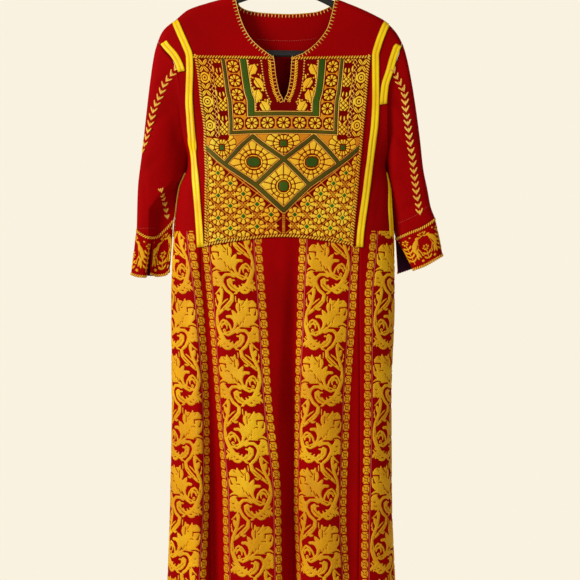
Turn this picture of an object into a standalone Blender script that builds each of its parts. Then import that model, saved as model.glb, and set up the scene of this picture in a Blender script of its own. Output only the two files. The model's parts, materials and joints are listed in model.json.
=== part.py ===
"""Embroidered thobe dress hanging flat from a black hanger.

Sizes are in millimetres. X runs to the viewer's right, the front faces -Y and Z is up.
The origin is the inside top of the hanger hook, where it rests on a rail or a wall hook.
"""
import math

import bpy
import numpy as np

COLLECTION = "embroidered_thobe"
MM = 0.001

# Cloth and trims
CLOTH = 1.6
SEAM_GAP = 0.4
RIDGE_GAP = 1.2
SIDE_GAP = 0.9
SLEEVE_GAP = 1.3
INSEAM_GAP = 1.6
PANEL_CLOTH = 1.4
PANEL_GAP = 0.35
RIBBON_CLOTH = 1.0
RIBBON_WIDTH = 13.0
SEAM_RIBBON_LIFT = 2.5
ARMHOLE_RIBBON_LIFT = 1.8
RIBBON_END = 18
ARMHOLE_RIBBON_END = (8, 11)

# Shoulder rounding over the hanger arms
SHOULDER_RADIUS = 10.0

# Where the side seams sit round the body, in degrees from the front centre, and where they start
LEFT_SEAM_ANGLE = 93.0
RIGHT_SEAM_ANGLE = 76.0
UNDERARM_ANGLE = 90.0

# The line over the shoulders: x, height
SHOULDER_LINE = (
    (-253, -249), (-247, -217), (-241, -196), (-228, -173), (-203, -152), (-179, -135), (-120, -116),
    (-95, -108), (-48, -93), (0, -80), (48, -93), (95, -114), (120, -124), (173, -148), (188, -156),
    (201, -168), (213, -183), (223, -201), (229, -219), (236, -246),
)

# Body sections: height, left edge, right edge, front depth, back depth
BODY_SECTIONS = (
    (-80, -262, 256, 13, 12),
    (-150, -262, 256, 16, 14),
    (-230, -262, 256, 24, 21),
    (-300, -258, 250, 31, 27),
    (-340, -236, 236, 34, 30),
    (-382, -206, 211, 36, 32),
    (-412, -184, 193.5, 37, 33),
    (-430, -184, 190, 38, 34),
    (-477, -200, 199, 40, 35),
    (-562, -210, 206, 43, 38),
    (-640, -214, 207, 46, 40),
    (-686, -215, 207, 48, 42),
    (-876, -214, 201, 55, 48),
    (-1066, -217, 202, 62, 54),
    (-1218, -222, 208, 66, 58),
    (-1484, -233, 217, 74, 64),
)

# Long seams under the ribbons: height, left x, right x
LONG_SEAMS = (
    (-156, -209, 195), (-182, -198, 184), (-207, -187, 175), (-228, -179.5, 170), (-258, -178.5, 170),
    (-302, -179.5, 170), (-353, -176.5, 168), (-395, -173, 163), (-480, -165.5, 152), (-590, -157.5, 139),
    (-686, -155, 138), (-876, -149, 139), (-1066, -141, 138), (-1218, -139, 136), (-1484, -139, 136),
)

# Side edges of the chest panel, carried on down as fold lines: height, left x, right x
PANEL_EDGES = (
    (-100, -190, 176), (-160, -188, 176), (-227, -170, 161), (-268, -163, 156), (-314, -158, 152),
    (-380, -150, 145), (-496, -149, 135), (-587, -149, 127), (-686, -141, 124), (-876, -130, 118),
    (-1066, -122, 114), (-1218, -120, 110), (-1484, -120, 109),
)

# Neck edge, slit and centre line: height, left x, right x
NECK_AND_SLIT = (
    (-100, -97, 98), (-112, -94, 95), (-146, -86, 88), (-173, -76, 80), (-192, -65, 68), (-208, -50, 53),
    (-222, -32, 34), (-230, -21, 13), (-268, -16, 10), (-297, -10, 5), (-315, -2, -2), (-350, -2, -2),
    (-1484, -2, -2),
)

# Armhole seams: height, left x, right x
ARMHOLES = (
    (-196, -241, 223), (-211, -231, 219), (-234, -212, 211), (-258, -202, 204), (-287, -198, 195),
    (-325, -197, 192), (-367, -192, 192), (-412, -184, 193.5),
)

SEAM_TABLES = (ARMHOLES, LONG_SEAMS, NECK_AND_SLIT)

# Back neck edge: x, height
BACK_NECK = (
    (-95, -109), (-87, -124), (-68, -133), (-38, -137), (8, -139), (53, -136), (84, -126), (95, -114),
)

# Rows from shoulder to hem: height at the side seam, at the long seam, at the centre
ROWS = (
    (-196, -156, -108), (-199, -157.5, -109.5), (-205, -161, -113), (-213, -167, -119), (-222, -178, -142),
    (-234, -192, -175), (-247, -208, -203), (-262, -227, -230), (-278, -249, -250), (-297, -272, -270),
    (-318, -296, -292), (-341, -317, -315), (-364, -349, -346), (-386, -382, -376), (-403, -406, -398),
    (-412, -426, -418), (-444, -463, -452), (-486, -504, -490), (-526, -546, -528), (-564, -587, -568),
    (-596, -614, -600), (-634, -648, -640), (-680, -690, -685), (-738, -740, -740), (-802, -802, -802),
    (-870, -870, -870), (-945, -945, -945), (-1025, -1025, -1025), (-1110, -1110, -1110),
    (-1200, -1200, -1200), (-1293, -1293, -1293), (-1388, -1388, -1388), (-1484, -1484, -1484),
)
TOP_FADE = (1.0, 1.0, 1.0, 1.0, 0.75, 0.5, 0.25)
PANEL_TOP_ROW = 7
SLIT_TIP_ROW = 11
UNDERARM_ROW = 15
PANEL_FOOT_ROW = 19

# Right side of the shoulder sits lower by these amounts at the side, long seam and centre
RIGHT_DROP = (-5.0, -4.0, -6.0)

# Folds of the skirt: x at waist, knee and hem, depth at waist, knee and hem, half width
FRONT_FOLDS = (
    (-150, -134, -127, 3, 25, 33, 17),
    (22, 12, 16, 2, 26, 36, 15),
    (132, 122, 119, 2, 9, 15, 24),
    (-75, -60, -55, 0, -6, -9, 34),
    (80, 66, 66, 0, -5, -8, 30),
    (-196, -186, -186, 1, 7, 10, 16),
)
BACK_FOLDS = (
    (-120, -108, -104, 1, 15, 24, 24),
    (4, 0, -6, 1, 12, 20, 26),
    (118, 106, 108, 1, 14, 22, 24),
    (-60, -54, -56, 0, -5, -8, 30),
    (62, 54, 54, 0, -5, -8, 30),
)
FOLD_HEIGHTS = (-575, -960, -1484)

# Fractions across each half of the centre front, from the centre to the panel's edge
LEFT_FRACTIONS = (0.0, 0.08, 0.17, 0.27, 0.38, 0.49, 0.60, 0.70, 0.79, 0.87, 0.94, 1.0)
RIGHT_FRACTIONS = (0.0, 0.055, 0.11, 0.165, 0.22, 0.29, 0.38, 0.49, 0.61, 0.74, 0.87, 1.0)
SIDE_FRACTIONS = tuple(i / 6 for i in range(7))
BACK_FRACTIONS = (
    0.0, 0.045, 0.11, 0.19, 0.2836, 0.33, 0.39, 0.46, 0.54, 0.61, 0.67, 0.715, 0.756, 0.82, 0.89, 0.955, 1.0,
)

# Sleeve outlines, cuff edges: x, height
LEFT_OUTLINE = (
    (-241, -196), (-247, -217), (-255, -268), (-264, -344), (-270, -399), (-279, -477), (-281, -551),
)
LEFT_INSEAM = ((-184, -412), (-205, -436), (-212, -466), (-216, -496), (-218, -534))
LEFT_WRIST = ((-218, -534), (-232, -552), (-246, -565), (-256, -566), (-270, -560), (-281, -551))
LEFT_WRIST_BACK = ((-218, -534), (-250, -545), (-281, -551))
LEFT_FOOT_INNER = ((-220, -633), (-228, -640), (-243, -642), (-256, -637))
LEFT_FOOT_OUTER = ((-262, -644), (-276, -643), (-292, -638))
LEFT_FOOT_BACK = ((-220, -633), (-250, -640), (-292, -638))
RIGHT_OUTLINE = ((223, -201), (229, -220), (236, -250), (247, -315), (256, -382), (262, -437), (270, -477),
                 (276, -509), (284, -530))
RIGHT_INSEAM = ((195.5, -412), (209, -435), (211, -477), (213, -524), (216, -568))
RIGHT_WRIST = ((216, -568), (236, -558), (255, -550), (272, -540), (284, -530))
RIGHT_WRIST_BACK = ((216, -568), (250, -552), (284, -530))
RIGHT_FOOT = ((243, -630), (262, -623), (280, -613), (299, -602))
RIGHT_FLARE = (12, 8)
RIGHT_FOOT_BACK = ((216, -636), (255, -622), (299, -602))

# Sleeve depth in front and behind: share of the way down, front, back
SLEEVE_DEPTHS = ((0.0, 26, 22), (0.3, 27, 23), (0.6, 23, 20), (1.0, 20, 17))
SLEEVE_ROWS = (0.0, 0.05, 0.12, 0.2, 0.28, 0.36, 0.44, 0.52, 0.6, 0.68, 0.76, 0.84, 0.92, 1.0)
CUFF_ROWS = (0.0, 0.34, 0.67, 1.0)
LEFT_SLIT_COLUMN = 7
LEFT_SLIT_WIDTH = 6.0

# The fold across the left sleeve: x, height of its start, its corner and its foot
SLEEVE_FOLD = ((-180, -404), (-257, -517), (-259, -660))
SLEEVE_FOLD_WIDTH = 16.0
SLEEVE_FOLD_SHARE = 0.8

# Hanger: x, height of the frame's centre line
HANGER_FRAME = (
    (0, -91), (-50, -103), (-95, -118), (-140, -132.5), (-175, -146), (-198, -163), (-206, -182),
    (-200, -201), (-180, -213), (-150, -216), (-75, -217), (0, -218), (75, -219), (135, -220),
    (168, -217), (189, -207), (197, -191), (190, -173), (170, -158.5), (140, -145), (95, -126), (50, -104.5),
)
FRAME_DEPTH = 8.0
FRAME_HEIGHT = 13.0
FRAME_SIDES = 10
FRAME_STEPS = 2

# Hook: x, height of the wire's centre line
HOOK_WIRE = 3.5
HOOK_PATH = (
    (0, -84.2), (0, -70), (0.5, -56), (5, -45.5), (13.5, -37), (20.2, -28), (21.6, -17), (17.6, -7),
    (10, -0.7), (0, 1.75), (-10, -0.7), (-17.6, -7), (-21.6, -17), (-21.2, -26),
)
HOOK_STEPS = 2

# Colours
CRIMSON = (0.30, 0.003, 0.010, 1.0)
PANEL_GOLD = (0.62, 0.30, 0.03, 1.0)
RIBBON_YELLOW = (0.90, 0.66, 0.02, 1.0)
HANGER_BLACK = (0.012, 0.012, 0.013, 1.0)
HOOK_STEEL = (0.62, 0.62, 0.64, 1.0)


def level_slopes(keys, values):
    """Slopes at a table's rows that never make the curve between them overshoot."""
    grades = np.diff(values) / np.diff(keys)
    slopes = np.zeros(len(keys))
    slopes[0] = grades[0]
    slopes[-1] = grades[-1]
    for i in range(1, len(keys) - 1):
        if grades[i - 1] * grades[i] > 0:
            slopes[i] = 2 * grades[i - 1] * grades[i] / (grades[i - 1] + grades[i])
    return slopes


def smooth(keys, values, at):
    """A smooth curve through a table, held level past its ends."""
    keys = np.asarray(keys, float)
    values = np.asarray(values, float)
    if keys[0] > keys[-1]:
        keys = keys[::-1]
        values = values[::-1]
    at = min(max(at, keys[0]), keys[-1])
    slopes = level_slopes(keys, values)
    i = int(np.clip(np.searchsorted(keys, at) - 1, 0, len(keys) - 2))
    step = keys[i + 1] - keys[i]
    t = (at - keys[i]) / step
    a = (2 * t ** 3 - 3 * t ** 2 + 1) * values[i]
    b = (t ** 3 - 2 * t ** 2 + t) * step * slopes[i]
    c = (-2 * t ** 3 + 3 * t ** 2) * values[i + 1]
    d = (t ** 3 - t ** 2) * step * slopes[i + 1]
    return float(a + b + c + d)


def column(table, key, value, at):
    """One named column of a table, read at a key."""
    return smooth([row[key] for row in table], [row[value] for row in table], at)


def ease(t):
    """A soft step from 0 to 1."""
    t = min(max(t, 0.0), 1.0)
    return t * t * (3 - 2 * t)


def along(points, share):
    """The point a share of the way along a line of x, height points."""
    points = np.asarray(points, float)
    lengths = np.concatenate(([0.0], np.cumsum(np.linalg.norm(np.diff(points, axis=0), axis=1))))
    at = share * lengths[-1]
    return np.array([smooth(lengths, points[:, 0], at), smooth(lengths, points[:, 1], at)])


def shoulder_height(x):
    return column(SHOULDER_LINE, 0, 1, x)


def shoulder_round(x, z):
    """How far the cloth has come round the shoulder: 0 on the ridge, 1 below it."""
    slope = (shoulder_height(x + 2) - shoulder_height(x - 2)) / 4
    drop = (shoulder_height(x) - z) / math.sqrt(1 + slope * slope)
    t = min(max(drop / SHOULDER_RADIUS, 0.0), 1.0)
    return math.sqrt(max(0.0, 1 - (1 - t) ** 2))


def fold_depth(folds, x, z):
    """How far the skirt's folds push the cloth in at a point."""
    total = 0.0
    for waist_x, knee_x, hem_x, waist, knee, hem, half_width in folds:
        centre = smooth(FOLD_HEIGHTS, (waist_x, knee_x, hem_x), z)
        depth = smooth(FOLD_HEIGHTS, (waist, knee, hem), z)
        total += depth * math.exp(-((x - centre) / half_width) ** 2)
    return total * ease((-470 - z) / 160)


def body_edges(z):
    left = column(BODY_SECTIONS, 0, 1, z)
    right = column(BODY_SECTIONS, 0, 2, z)
    return (left + right) / 2, (right - left) / 2


def body_point(angle, z):
    """The middle of the body's cloth at an angle round from the front centre."""
    centre, half = body_edges(z)
    x = centre + half * math.sin(angle)
    c = math.cos(angle)
    front = c >= 0
    depth = column(BODY_SECTIONS, 0, 3 if front else 4, z)
    folds = FRONT_FOLDS if front else BACK_FOLDS
    flat = abs(c) * (2 - abs(c))
    y = depth * flat * shoulder_round(x, z)
    y -= fold_depth(folds, x, z) * min(1.0, 1.4 * abs(c))
    return np.array([x, -y if front else y, z])


def body_normal(angle, z):
    """The direction out of the body's cloth."""
    across = body_point(angle + 0.01, z) - body_point(angle - 0.01, z)
    down = body_point(angle, z - 1.5) - body_point(angle, z + 1.5)
    normal = np.cross(down, across)
    return normal / np.linalg.norm(normal)


def angle_at(x, z, back=False):
    """The angle round the body of a point on its front or back."""
    centre, half = body_edges(z)
    angle = math.asin(min(max((x - centre) / half, -1.0), 1.0))
    if not back:
        return angle
    return math.copysign(math.pi, angle) - angle


def row_height(row, where, right):
    """The height of a row at the side seam (0), the long seam (1) or the centre (2)."""
    shift = RIGHT_DROP[where] if right else 0.0
    return ROWS[row][where] + shift * max(0.0, 1 - row / 8)


def side_seam(row, right):
    """The angle of a side seam, which drifts round from the underarm."""
    low = RIGHT_SEAM_ANGLE if right else LEFT_SEAM_ANGLE
    angle = UNDERARM_ANGLE + (low - UNDERARM_ANGLE) * ease((row - UNDERARM_ROW) / 3)
    return math.radians(angle if right else -angle)


def seam_angle(row, where, right, back):
    """The angle round the body of a seam on one row."""
    z = row_height(row, where, right)
    side = 2 if right else 1
    if where == 0 and row >= UNDERARM_ROW:
        return side_seam(row, right)
    return angle_at(column(SEAM_TABLES[where], 0, side, z), z, back)


def ridge(point, back):
    """Keeps the front and the back a seam apart along the shoulder."""
    if shoulder_round(point[0], point[2]) > 0.7:
        return point
    if back:
        point[1] = max(point[1], RIDGE_GAP / 2)
    else:
        point[1] = min(point[1], -RIDGE_GAP / 2)
    return point


def blended(row, angles, heights, fractions, top_x, top_z):
    """Angles and heights across a row between two seams, following the shoulder at the top."""
    fade = TOP_FADE[row] if row < len(TOP_FADE) else 0.0
    result = []
    for t in fractions:
        angle = angles[0] + (angles[1] - angles[0]) * t
        z = heights[0] + (heights[1] - heights[0]) * t
        if fade:
            x = top_x[0] + (top_x[1] - top_x[0]) * t
            z += (shoulder_height(x) - top_z[0] - (top_z[1] - top_z[0]) * t) * fade
        result.append((angle, z))
    return result


def seam_tops(seams, right):
    """Where seams start on the shoulder: their x and their height."""
    side = 2 if right else 1
    heights = [row_height(0, where, right) for where in seams]
    xs = [column(SEAM_TABLES[where], 0, side, z) for where, z in zip(seams, heights)]
    return xs, heights


def seam_share(start, end, gap=SEAM_GAP):
    """The share of a row's width that half a seam gap takes."""
    return gap / 2 / max(np.linalg.norm(end - start), 1.0)


def side_front_grid(right):
    """Angle and height of each point of a side front, left to right."""
    seams = (1, 0) if right else (0, 1)
    grid = []
    for row in range(len(ROWS)):
        angles = [seam_angle(row, where, right, False) for where in seams]
        heights = [row_height(row, where, right) for where in seams]
        tops = seam_tops(seams, right)
        ends = [body_point(a, z) for a, z in zip(angles, heights)]
        gaps = [seam_share(*ends, SIDE_GAP if where == 0 else SEAM_GAP) for where in seams]
        low = gaps[0]
        high = 1 - gaps[1]
        ts = [low + (high - low) * t for t in SIDE_FRACTIONS]
        grid.append(blended(row, angles, heights, ts, *tops))
    return grid


def centre_half(right):
    """Angle and height of each point of one half of the centre front, centre first."""
    fractions = RIGHT_FRACTIONS if right else LEFT_FRACTIONS
    side = 2 if right else 1
    grid = []
    for row in range(len(ROWS)):
        start = seam_angle(row, 2, right, False)
        end = seam_angle(row, 1, right, False)
        heights = [row_height(row, 2, right), row_height(row, 1, right)]
        tops = seam_tops((2, 1), right)
        edge = angle_at(column(PANEL_EDGES, 0, side, heights[1]), heights[1])
        edge_share = (edge - start) / (end - start)
        ends = [body_point(start, heights[0]), body_point(end, heights[1])]
        last = 1 - seam_share(*ends)
        ts = [f * edge_share for f in fractions] + [(edge_share + last) / 2, last]
        grid.append(blended(row, (start, end), heights, ts, *tops))
    return grid


def raised(grid, back, lift=0.0):
    """Turns angles and heights into points of the cloth, moved out by a lift."""
    rows = []
    for line in grid:
        points = []
        for angle, z in line:
            point = ridge(body_point(angle, z), back)
            if lift:
                point = point + body_normal(angle, z) * lift
            points.append(point)
        rows.append(points)
    return np.array(rows)


def material(name, colour, roughness, metallic=0.0):
    mat = bpy.data.materials.new(name)
    mat.use_nodes = True
    shader = mat.node_tree.nodes["Principled BSDF"]
    shader.inputs["Base Color"].default_value = colour
    shader.inputs["Roughness"].default_value = roughness
    shader.inputs["Metallic"].default_value = metallic
    return mat


def add_object(name, data, mat):
    obj = bpy.data.objects.new(name, data)
    obj.data.materials.append(mat)
    bpy.data.collections[COLLECTION].objects.link(obj)
    return obj


def thicken(obj, thickness):
    solid = obj.modifiers.new("cloth", "SOLIDIFY")
    solid.thickness = thickness * MM
    solid.offset = 0.0
    solid.use_even_offset = False
    return obj


def grid_faces(rows, columns, first=0):
    """Faces of a grid whose columns run to the viewer's right, seen from its outer side."""
    faces = []
    for r in range(rows - 1):
        for c in range(columns - 1):
            a = first + r * columns + c
            faces.append((a, a + columns, a + columns + 1, a + 1))
    return faces


def sheet(name, grid, mat, thickness=CLOTH):
    """A cloth piece from a grid of points."""
    rows, columns = grid.shape[:2]
    mesh = bpy.data.meshes.new(name)
    mesh.from_pydata([tuple(p * MM) for p in grid.reshape(-1, 3)], [], grid_faces(rows, columns))
    mesh.update()
    return thicken(add_object(name, mesh, mat), thickness)


def split_sheet(name, left, right, shared_row, mat, thickness):
    """A cloth piece of two halves, joined on the centre from one row down."""
    rows, columns = left.shape[:2]
    left = left[:, ::-1]
    points = list(left.reshape(-1, 3)) + list(right.reshape(-1, 3))
    offset = rows * columns
    swap = {}
    for r in range(shared_row, rows):
        swap[offset + r * columns] = r * columns + columns - 1
    faces = grid_faces(rows, columns) + grid_faces(rows, columns, offset)
    faces = [tuple(swap.get(v, v) for v in face) for face in faces]
    used = sorted({v for face in faces for v in face})
    index = {v: i for i, v in enumerate(used)}
    mesh = bpy.data.meshes.new(name)
    mesh.from_pydata([tuple(points[v] * MM) for v in used], [], [tuple(index[v] for v in f) for f in faces])
    mesh.update()
    return thicken(add_object(name, mesh, mat), thickness)


def build_centre_front(cloth, panel_cloth):
    left = centre_half(False)
    right = centre_half(True)
    split_sheet("centre_front", raised(left, False), raised(right, False), SLIT_TIP_ROW, cloth, CLOTH)
    lift = CLOTH / 2 + PANEL_GAP + PANEL_CLOTH / 2
    rows = slice(PANEL_TOP_ROW, PANEL_FOOT_ROW + 1)
    halves = [raised([line[:-2] for line in half[rows]], False, lift) for half in (left, right)]
    shared = SLIT_TIP_ROW - PANEL_TOP_ROW
    split_sheet("chest_panel", halves[0], halves[1], shared, panel_cloth, PANEL_CLOTH)


def build_side_panels(cloth):
    for right, side in ((False, "left"), (True, "right")):
        sheet("side_front_" + side, raised(side_front_grid(right), False), cloth)
        sheet("side_back_" + side, raised(side_back_grid(right), True)[:, ::-1], cloth)


def side_back_grid(right):
    """The side back, from the side seam round to the back's long seam, left to right."""
    grid = []
    for row in range(len(ROWS)):
        side_z = row_height(row, 0, right)
        seam_z = row_height(row, 1, right)
        side = side_angle(row, right)
        seam = angle_at(column(LONG_SEAMS, 0, 2 if right else 1, seam_z), seam_z, True)
        ends = [body_point(side, side_z), body_point(seam, seam_z)]
        low = seam_share(*ends, SIDE_GAP)
        high = 1 - seam_share(*ends)
        tops = seam_tops((0, 1), right)
        ts = [low + (high - low) * t for t in SIDE_FRACTIONS]
        points = blended(row, (side, seam), (side_z, seam_z), ts, *tops)
        grid.append(points if not right else points[::-1])
    return grid


def side_angle(row, right):
    """The angle of the back's armhole edge and of the side seam."""
    if row >= UNDERARM_ROW:
        return side_seam(row, right)
    z = row_height(row, 0, right)
    return angle_at(column(ARMHOLES, 0, 2 if right else 1, z), z, True)


def build_centre_back(cloth):
    grid = []
    for row in range(len(ROWS)):
        line = []
        for t in BACK_FRACTIONS:
            line.append(back_place(row, t))
        grid.append(line)
    sheet("centre_back", raised(grid, True)[:, ::-1], cloth)


def back_place(row, t):
    """Angle and height of a point of the centre back, left to right."""
    heights = [row_height(row, 1, right) for right in (False, True)]
    xs = [column(LONG_SEAMS, 0, 1 + right, heights[right]) for right in (0, 1)]
    share = SEAM_GAP / 2 / (xs[1] - xs[0])
    t = share + (1 - 2 * share) * t
    x = xs[0] + (xs[1] - xs[0]) * t
    z = heights[0] + (heights[1] - heights[0]) * t
    tops = [row_height(0, 1, right) for right in (False, True)]
    top_xs = [column(LONG_SEAMS, 0, 1 + right, tops[right]) for right in (0, 1)]
    top_x = top_xs[0] + (top_xs[1] - top_xs[0]) * t
    top = shoulder_height(top_x)
    if BACK_NECK[0][0] < top_x < BACK_NECK[-1][0]:
        top = column(BACK_NECK, 0, 1, top_x)
    fade = 1 - ease((row - 3) / 9)
    z += (top - tops[0] - (tops[1] - tops[0]) * t) * fade
    return angle_at(x, z, True), z


def armhole_points(right, back):
    """Points of the armhole from the underarm up to the shoulder."""
    points = []
    for row in range(UNDERARM_ROW, -1, -1):
        z = row_height(row, 0, right)
        angle = side_angle(row, right) if back else seam_angle(row, 0, right, False)
        points.append(ridge(body_point(angle, z), back) if row else body_point(angle, z))
    return np.array(points)


def stood_off(points, right):
    """Moves an armhole's points out from the body by the sleeve's gap."""
    flat = points[:, [0, 2]]
    run = np.gradient(flat, axis=0)
    run /= np.linalg.norm(run, axis=1)[:, None]
    out = np.stack((run[:, 1], -run[:, 0]), axis=1)
    if not right:
        out = -out
    moved = points.copy()
    moved[:, 0] += out[:, 0] * SLEEVE_GAP
    moved[:, 2] += out[:, 1] * SLEEVE_GAP
    return moved


def shares_of(points):
    lengths = np.concatenate(([0.0], np.cumsum(np.linalg.norm(np.diff(points[:, [0, 2]], axis=0), axis=1))))
    return lengths / lengths[-1]


def sleeve_flat(arm, outline, inseam, wrist, p, q):
    """Where a sleeve point falls in x and height, blended from its four edges."""
    top = np.array([arm[0], arm[2]])
    inner = along(inseam, q)
    outer = along(outline, q)
    foot = along(wrist, p)
    across = inner * (1 - p) + outer * p
    down = top * (1 - q) + foot * q
    corners = (np.array(inseam[0]) * (1 - p) + np.array(outline[0]) * p) * (1 - q)
    corners = corners + (np.array(wrist[0]) * (1 - p) + np.array(wrist[-1]) * p) * q
    return across + down - corners


def fullness(p):
    c = math.sqrt(max(0.0, 1 - (2 * p - 1) ** 2))
    return c * (2 - c)


def fold_share(x, z):
    """How far a point lies inside the left sleeve's fold, from 0 to 1."""
    start, corner, foot = SLEEVE_FOLD
    if z > corner[1]:
        a, b = np.array(start, float), np.array(corner, float)
    else:
        a, b = np.array(corner, float), np.array(foot, float)
    line = (b - a) / np.linalg.norm(b - a)
    gap = (x - a[0]) * -line[1] + (z - a[1]) * line[0]
    return ease(gap / SLEEVE_FOLD_WIDTH)


def sleeve_depth(p, q, back):
    depth = column(SLEEVE_DEPTHS, 0, 2 if back else 1, q)
    return depth * fullness(p)


def sleeve_half(right, back):
    """Points of half a sleeve, row by row, from the underarm seam out to the outline."""
    outline = RIGHT_OUTLINE if right else LEFT_OUTLINE
    inseam = RIGHT_INSEAM if right else LEFT_INSEAM
    if right:
        wrist = RIGHT_WRIST_BACK if back else RIGHT_WRIST
    else:
        wrist = LEFT_WRIST_BACK if back else LEFT_WRIST
    arm = stood_off(armhole_points(right, back), right)
    shares = shares_of(arm)
    grid = []
    for q in SLEEVE_ROWS:
        down = q
        line = []
        for i, p in enumerate(shares):
            x, z = sleeve_flat(arm[i], outline, inseam, wrist, p, down)
            own = sleeve_depth(p, q, back)
            if not back and not right:
                own *= 1 - SLEEVE_FOLD_SHARE * fold_share(x, z) * ease((q - 0.05) / 0.25)
            own = own if back else -own
            first = sleeve_depth(p, 0, back) * (1 if back else -1)
            keep = 1 - ease(q / 0.5)
            line.append([x, own + (arm[i][1] - first) * keep, z])
        grid.append(line)
    return np.array(grid)


def sleeve_ring(right):
    """A sleeve's points from the underarm seam over the front, the outline and the back."""
    front = sleeve_half(right, False)
    back = sleeve_half(right, True)
    front[:, 0, 1] -= INSEAM_GAP / 2
    back[:, 0, 1] += INSEAM_GAP / 2
    ring = np.concatenate((front, back[:, -2::-1]), axis=1)
    return ring


def cuff_ring(right, ring):
    """A cuff's points, hung from the sleeve's last row."""
    half = UNDERARM_ROW + 1
    shares = shares_of(armhole_points(right, False))
    back_shares = shares_of(armhole_points(right, True))
    top = ring[-1].copy()
    slit = LEFT_SLIT_COLUMN
    foot = np.zeros_like(top)
    for i in range(len(top)):
        if i < half:
            place = cuff_front_foot(right, shares[i], shares[slit], i <= slit)
        else:
            p = back_shares[len(top) - 1 - i]
            place = along(RIGHT_FOOT_BACK if right else LEFT_FOOT_BACK, p)
        foot[i] = (place[0], top[i][1], place[1])
    if right:
        foot[:half, 1] -= RIGHT_FLARE[0] * (1 - shares)
        foot[half:, 1] += RIGHT_FLARE[1] * (1 - back_shares[len(top) - 1 - np.arange(half, len(top))])
    rows = []
    for q in CUFF_ROWS:
        rows.append(top + (foot - top) * q)
    rows = np.array(rows)
    rows[0] += (foot - top) / np.linalg.norm(foot - top, axis=1)[:, None] * SEAM_GAP * 1.5
    if right:
        return rows
    return left_cuff_order(rows, slit)


def cuff_front_foot(right, p, slit_share, inner):
    if right:
        return along(RIGHT_FOOT, p)
    if inner:
        return along(LEFT_FOOT_INNER, p / slit_share)
    return along(LEFT_FOOT_OUTER, (p - slit_share) / (1 - slit_share))


def left_cuff_order(rows, slit):
    """Turns the left cuff so that its slit is the open edge, and closes it under the arm."""
    closed = rows[:, :-1].copy()
    closed[:, 0, 1] = 0.0
    outer = closed[:, slit:].copy()
    inner = closed[:, :slit + 1].copy()
    outer[:, 0, 0] -= np.linspace(0.25, LEFT_SLIT_WIDTH, len(rows))
    outer[:, 0, 2] -= np.linspace(0.0, LEFT_SLIT_WIDTH - 1, len(rows))
    inner[:, -1, 0] += 0.25
    return np.concatenate((outer, inner), axis=1)


def build_sleeves(cloth):
    for right in (False, True):
        side = "right" if right else "left"
        ring = sleeve_ring(right)
        cuff = cuff_ring(right, ring)
        if not right:
            ring = ring[:, ::-1]
            cuff = cuff[:, ::-1]
        sheet("sleeve_" + side, ring, cloth)
        sheet("cuff_" + side, cuff, cloth)


def ribbon(name, places, mat, lift, shift=0.0):
    """A flat ribbon along a line of angles and heights, moved sideways by a shift."""
    rows = []
    count = len(places)
    for i, (angle, z) in enumerate(places):
        before = places[max(i - 1, 0)]
        after = places[min(i + 1, count - 1)]
        step = np.linalg.norm(body_point(angle + 0.01, z) - body_point(angle - 0.01, z)) / 0.02
        run = np.array([(after[0] - before[0]) * step, after[1] - before[1]])
        run /= np.linalg.norm(run)
        normal = np.array([-run[1], run[0]])
        row = []
        for offset in (-RIBBON_WIDTH / 2, 0.0, RIBBON_WIDTH / 2):
            side = (offset + shift) * normal
            a = angle + side[0] / step
            h = z + side[1]
            row.append(body_point(a, h) + body_normal(a, h) * lift)
        rows.append(row)
    sheet(name, np.array(rows), mat, RIBBON_CLOTH)


def build_ribbons(satin):
    for right in (False, True):
        side = "right" if right else "left"
        rows = range(2, RIBBON_END + 2)
        for back in (False, True):
            face = "back" if back else "front"
            places = [(seam_angle(r, 1, right, back), row_height(r, 1, right)) for r in rows]
            ribbon(f"seam_ribbon_{face}_{side}", places, satin, SEAM_RIBBON_LIFT)
            inward = RIBBON_WIDTH / 2 + 1.2
            arm_rows = range(2, ARMHOLE_RIBBON_END[right])
            places = []
            for r in arm_rows:
                angle = side_angle(r, right) if back else seam_angle(r, 0, right, False)
                places.append((angle, row_height(r, 0, right)))
            shift = inward if (right == back) else -inward
            ribbon(f"armhole_ribbon_{face}_{side}", places, satin, ARMHOLE_RIBBON_LIFT, shift)
        rows = range(UNDERARM_ROW + 1, PANEL_FOOT_ROW + 1)
        places = [(side_seam(r, right), row_height(r, 0, right) - 2) for r in rows]
        ribbon("side_ribbon_" + side, places, satin, SEAM_RIBBON_LIFT)


def smooth_path(points, steps, closed):
    """Extra points on a curve through the given ones."""
    count = len(points)
    points = np.asarray(points, float)
    result = []
    last = count if closed else count - 1
    for i in range(last):
        p0 = points[(i - 1) % count] if closed or i else points[0]
        p1 = points[i]
        p2 = points[(i + 1) % count]
        p3 = points[(i + 2) % count] if closed or i + 2 < count else points[-1]
        for k in range(steps):
            t = k / steps
            term = 2 * p1 + (p2 - p0) * t + (2 * p0 - 5 * p1 + 4 * p2 - p3) * t ** 2
            result.append((term + (3 * p1 - p0 - 3 * p2 + p3) * t ** 3) / 2)
    if not closed:
        result.append(points[-1])
    return np.array(result)


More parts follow.
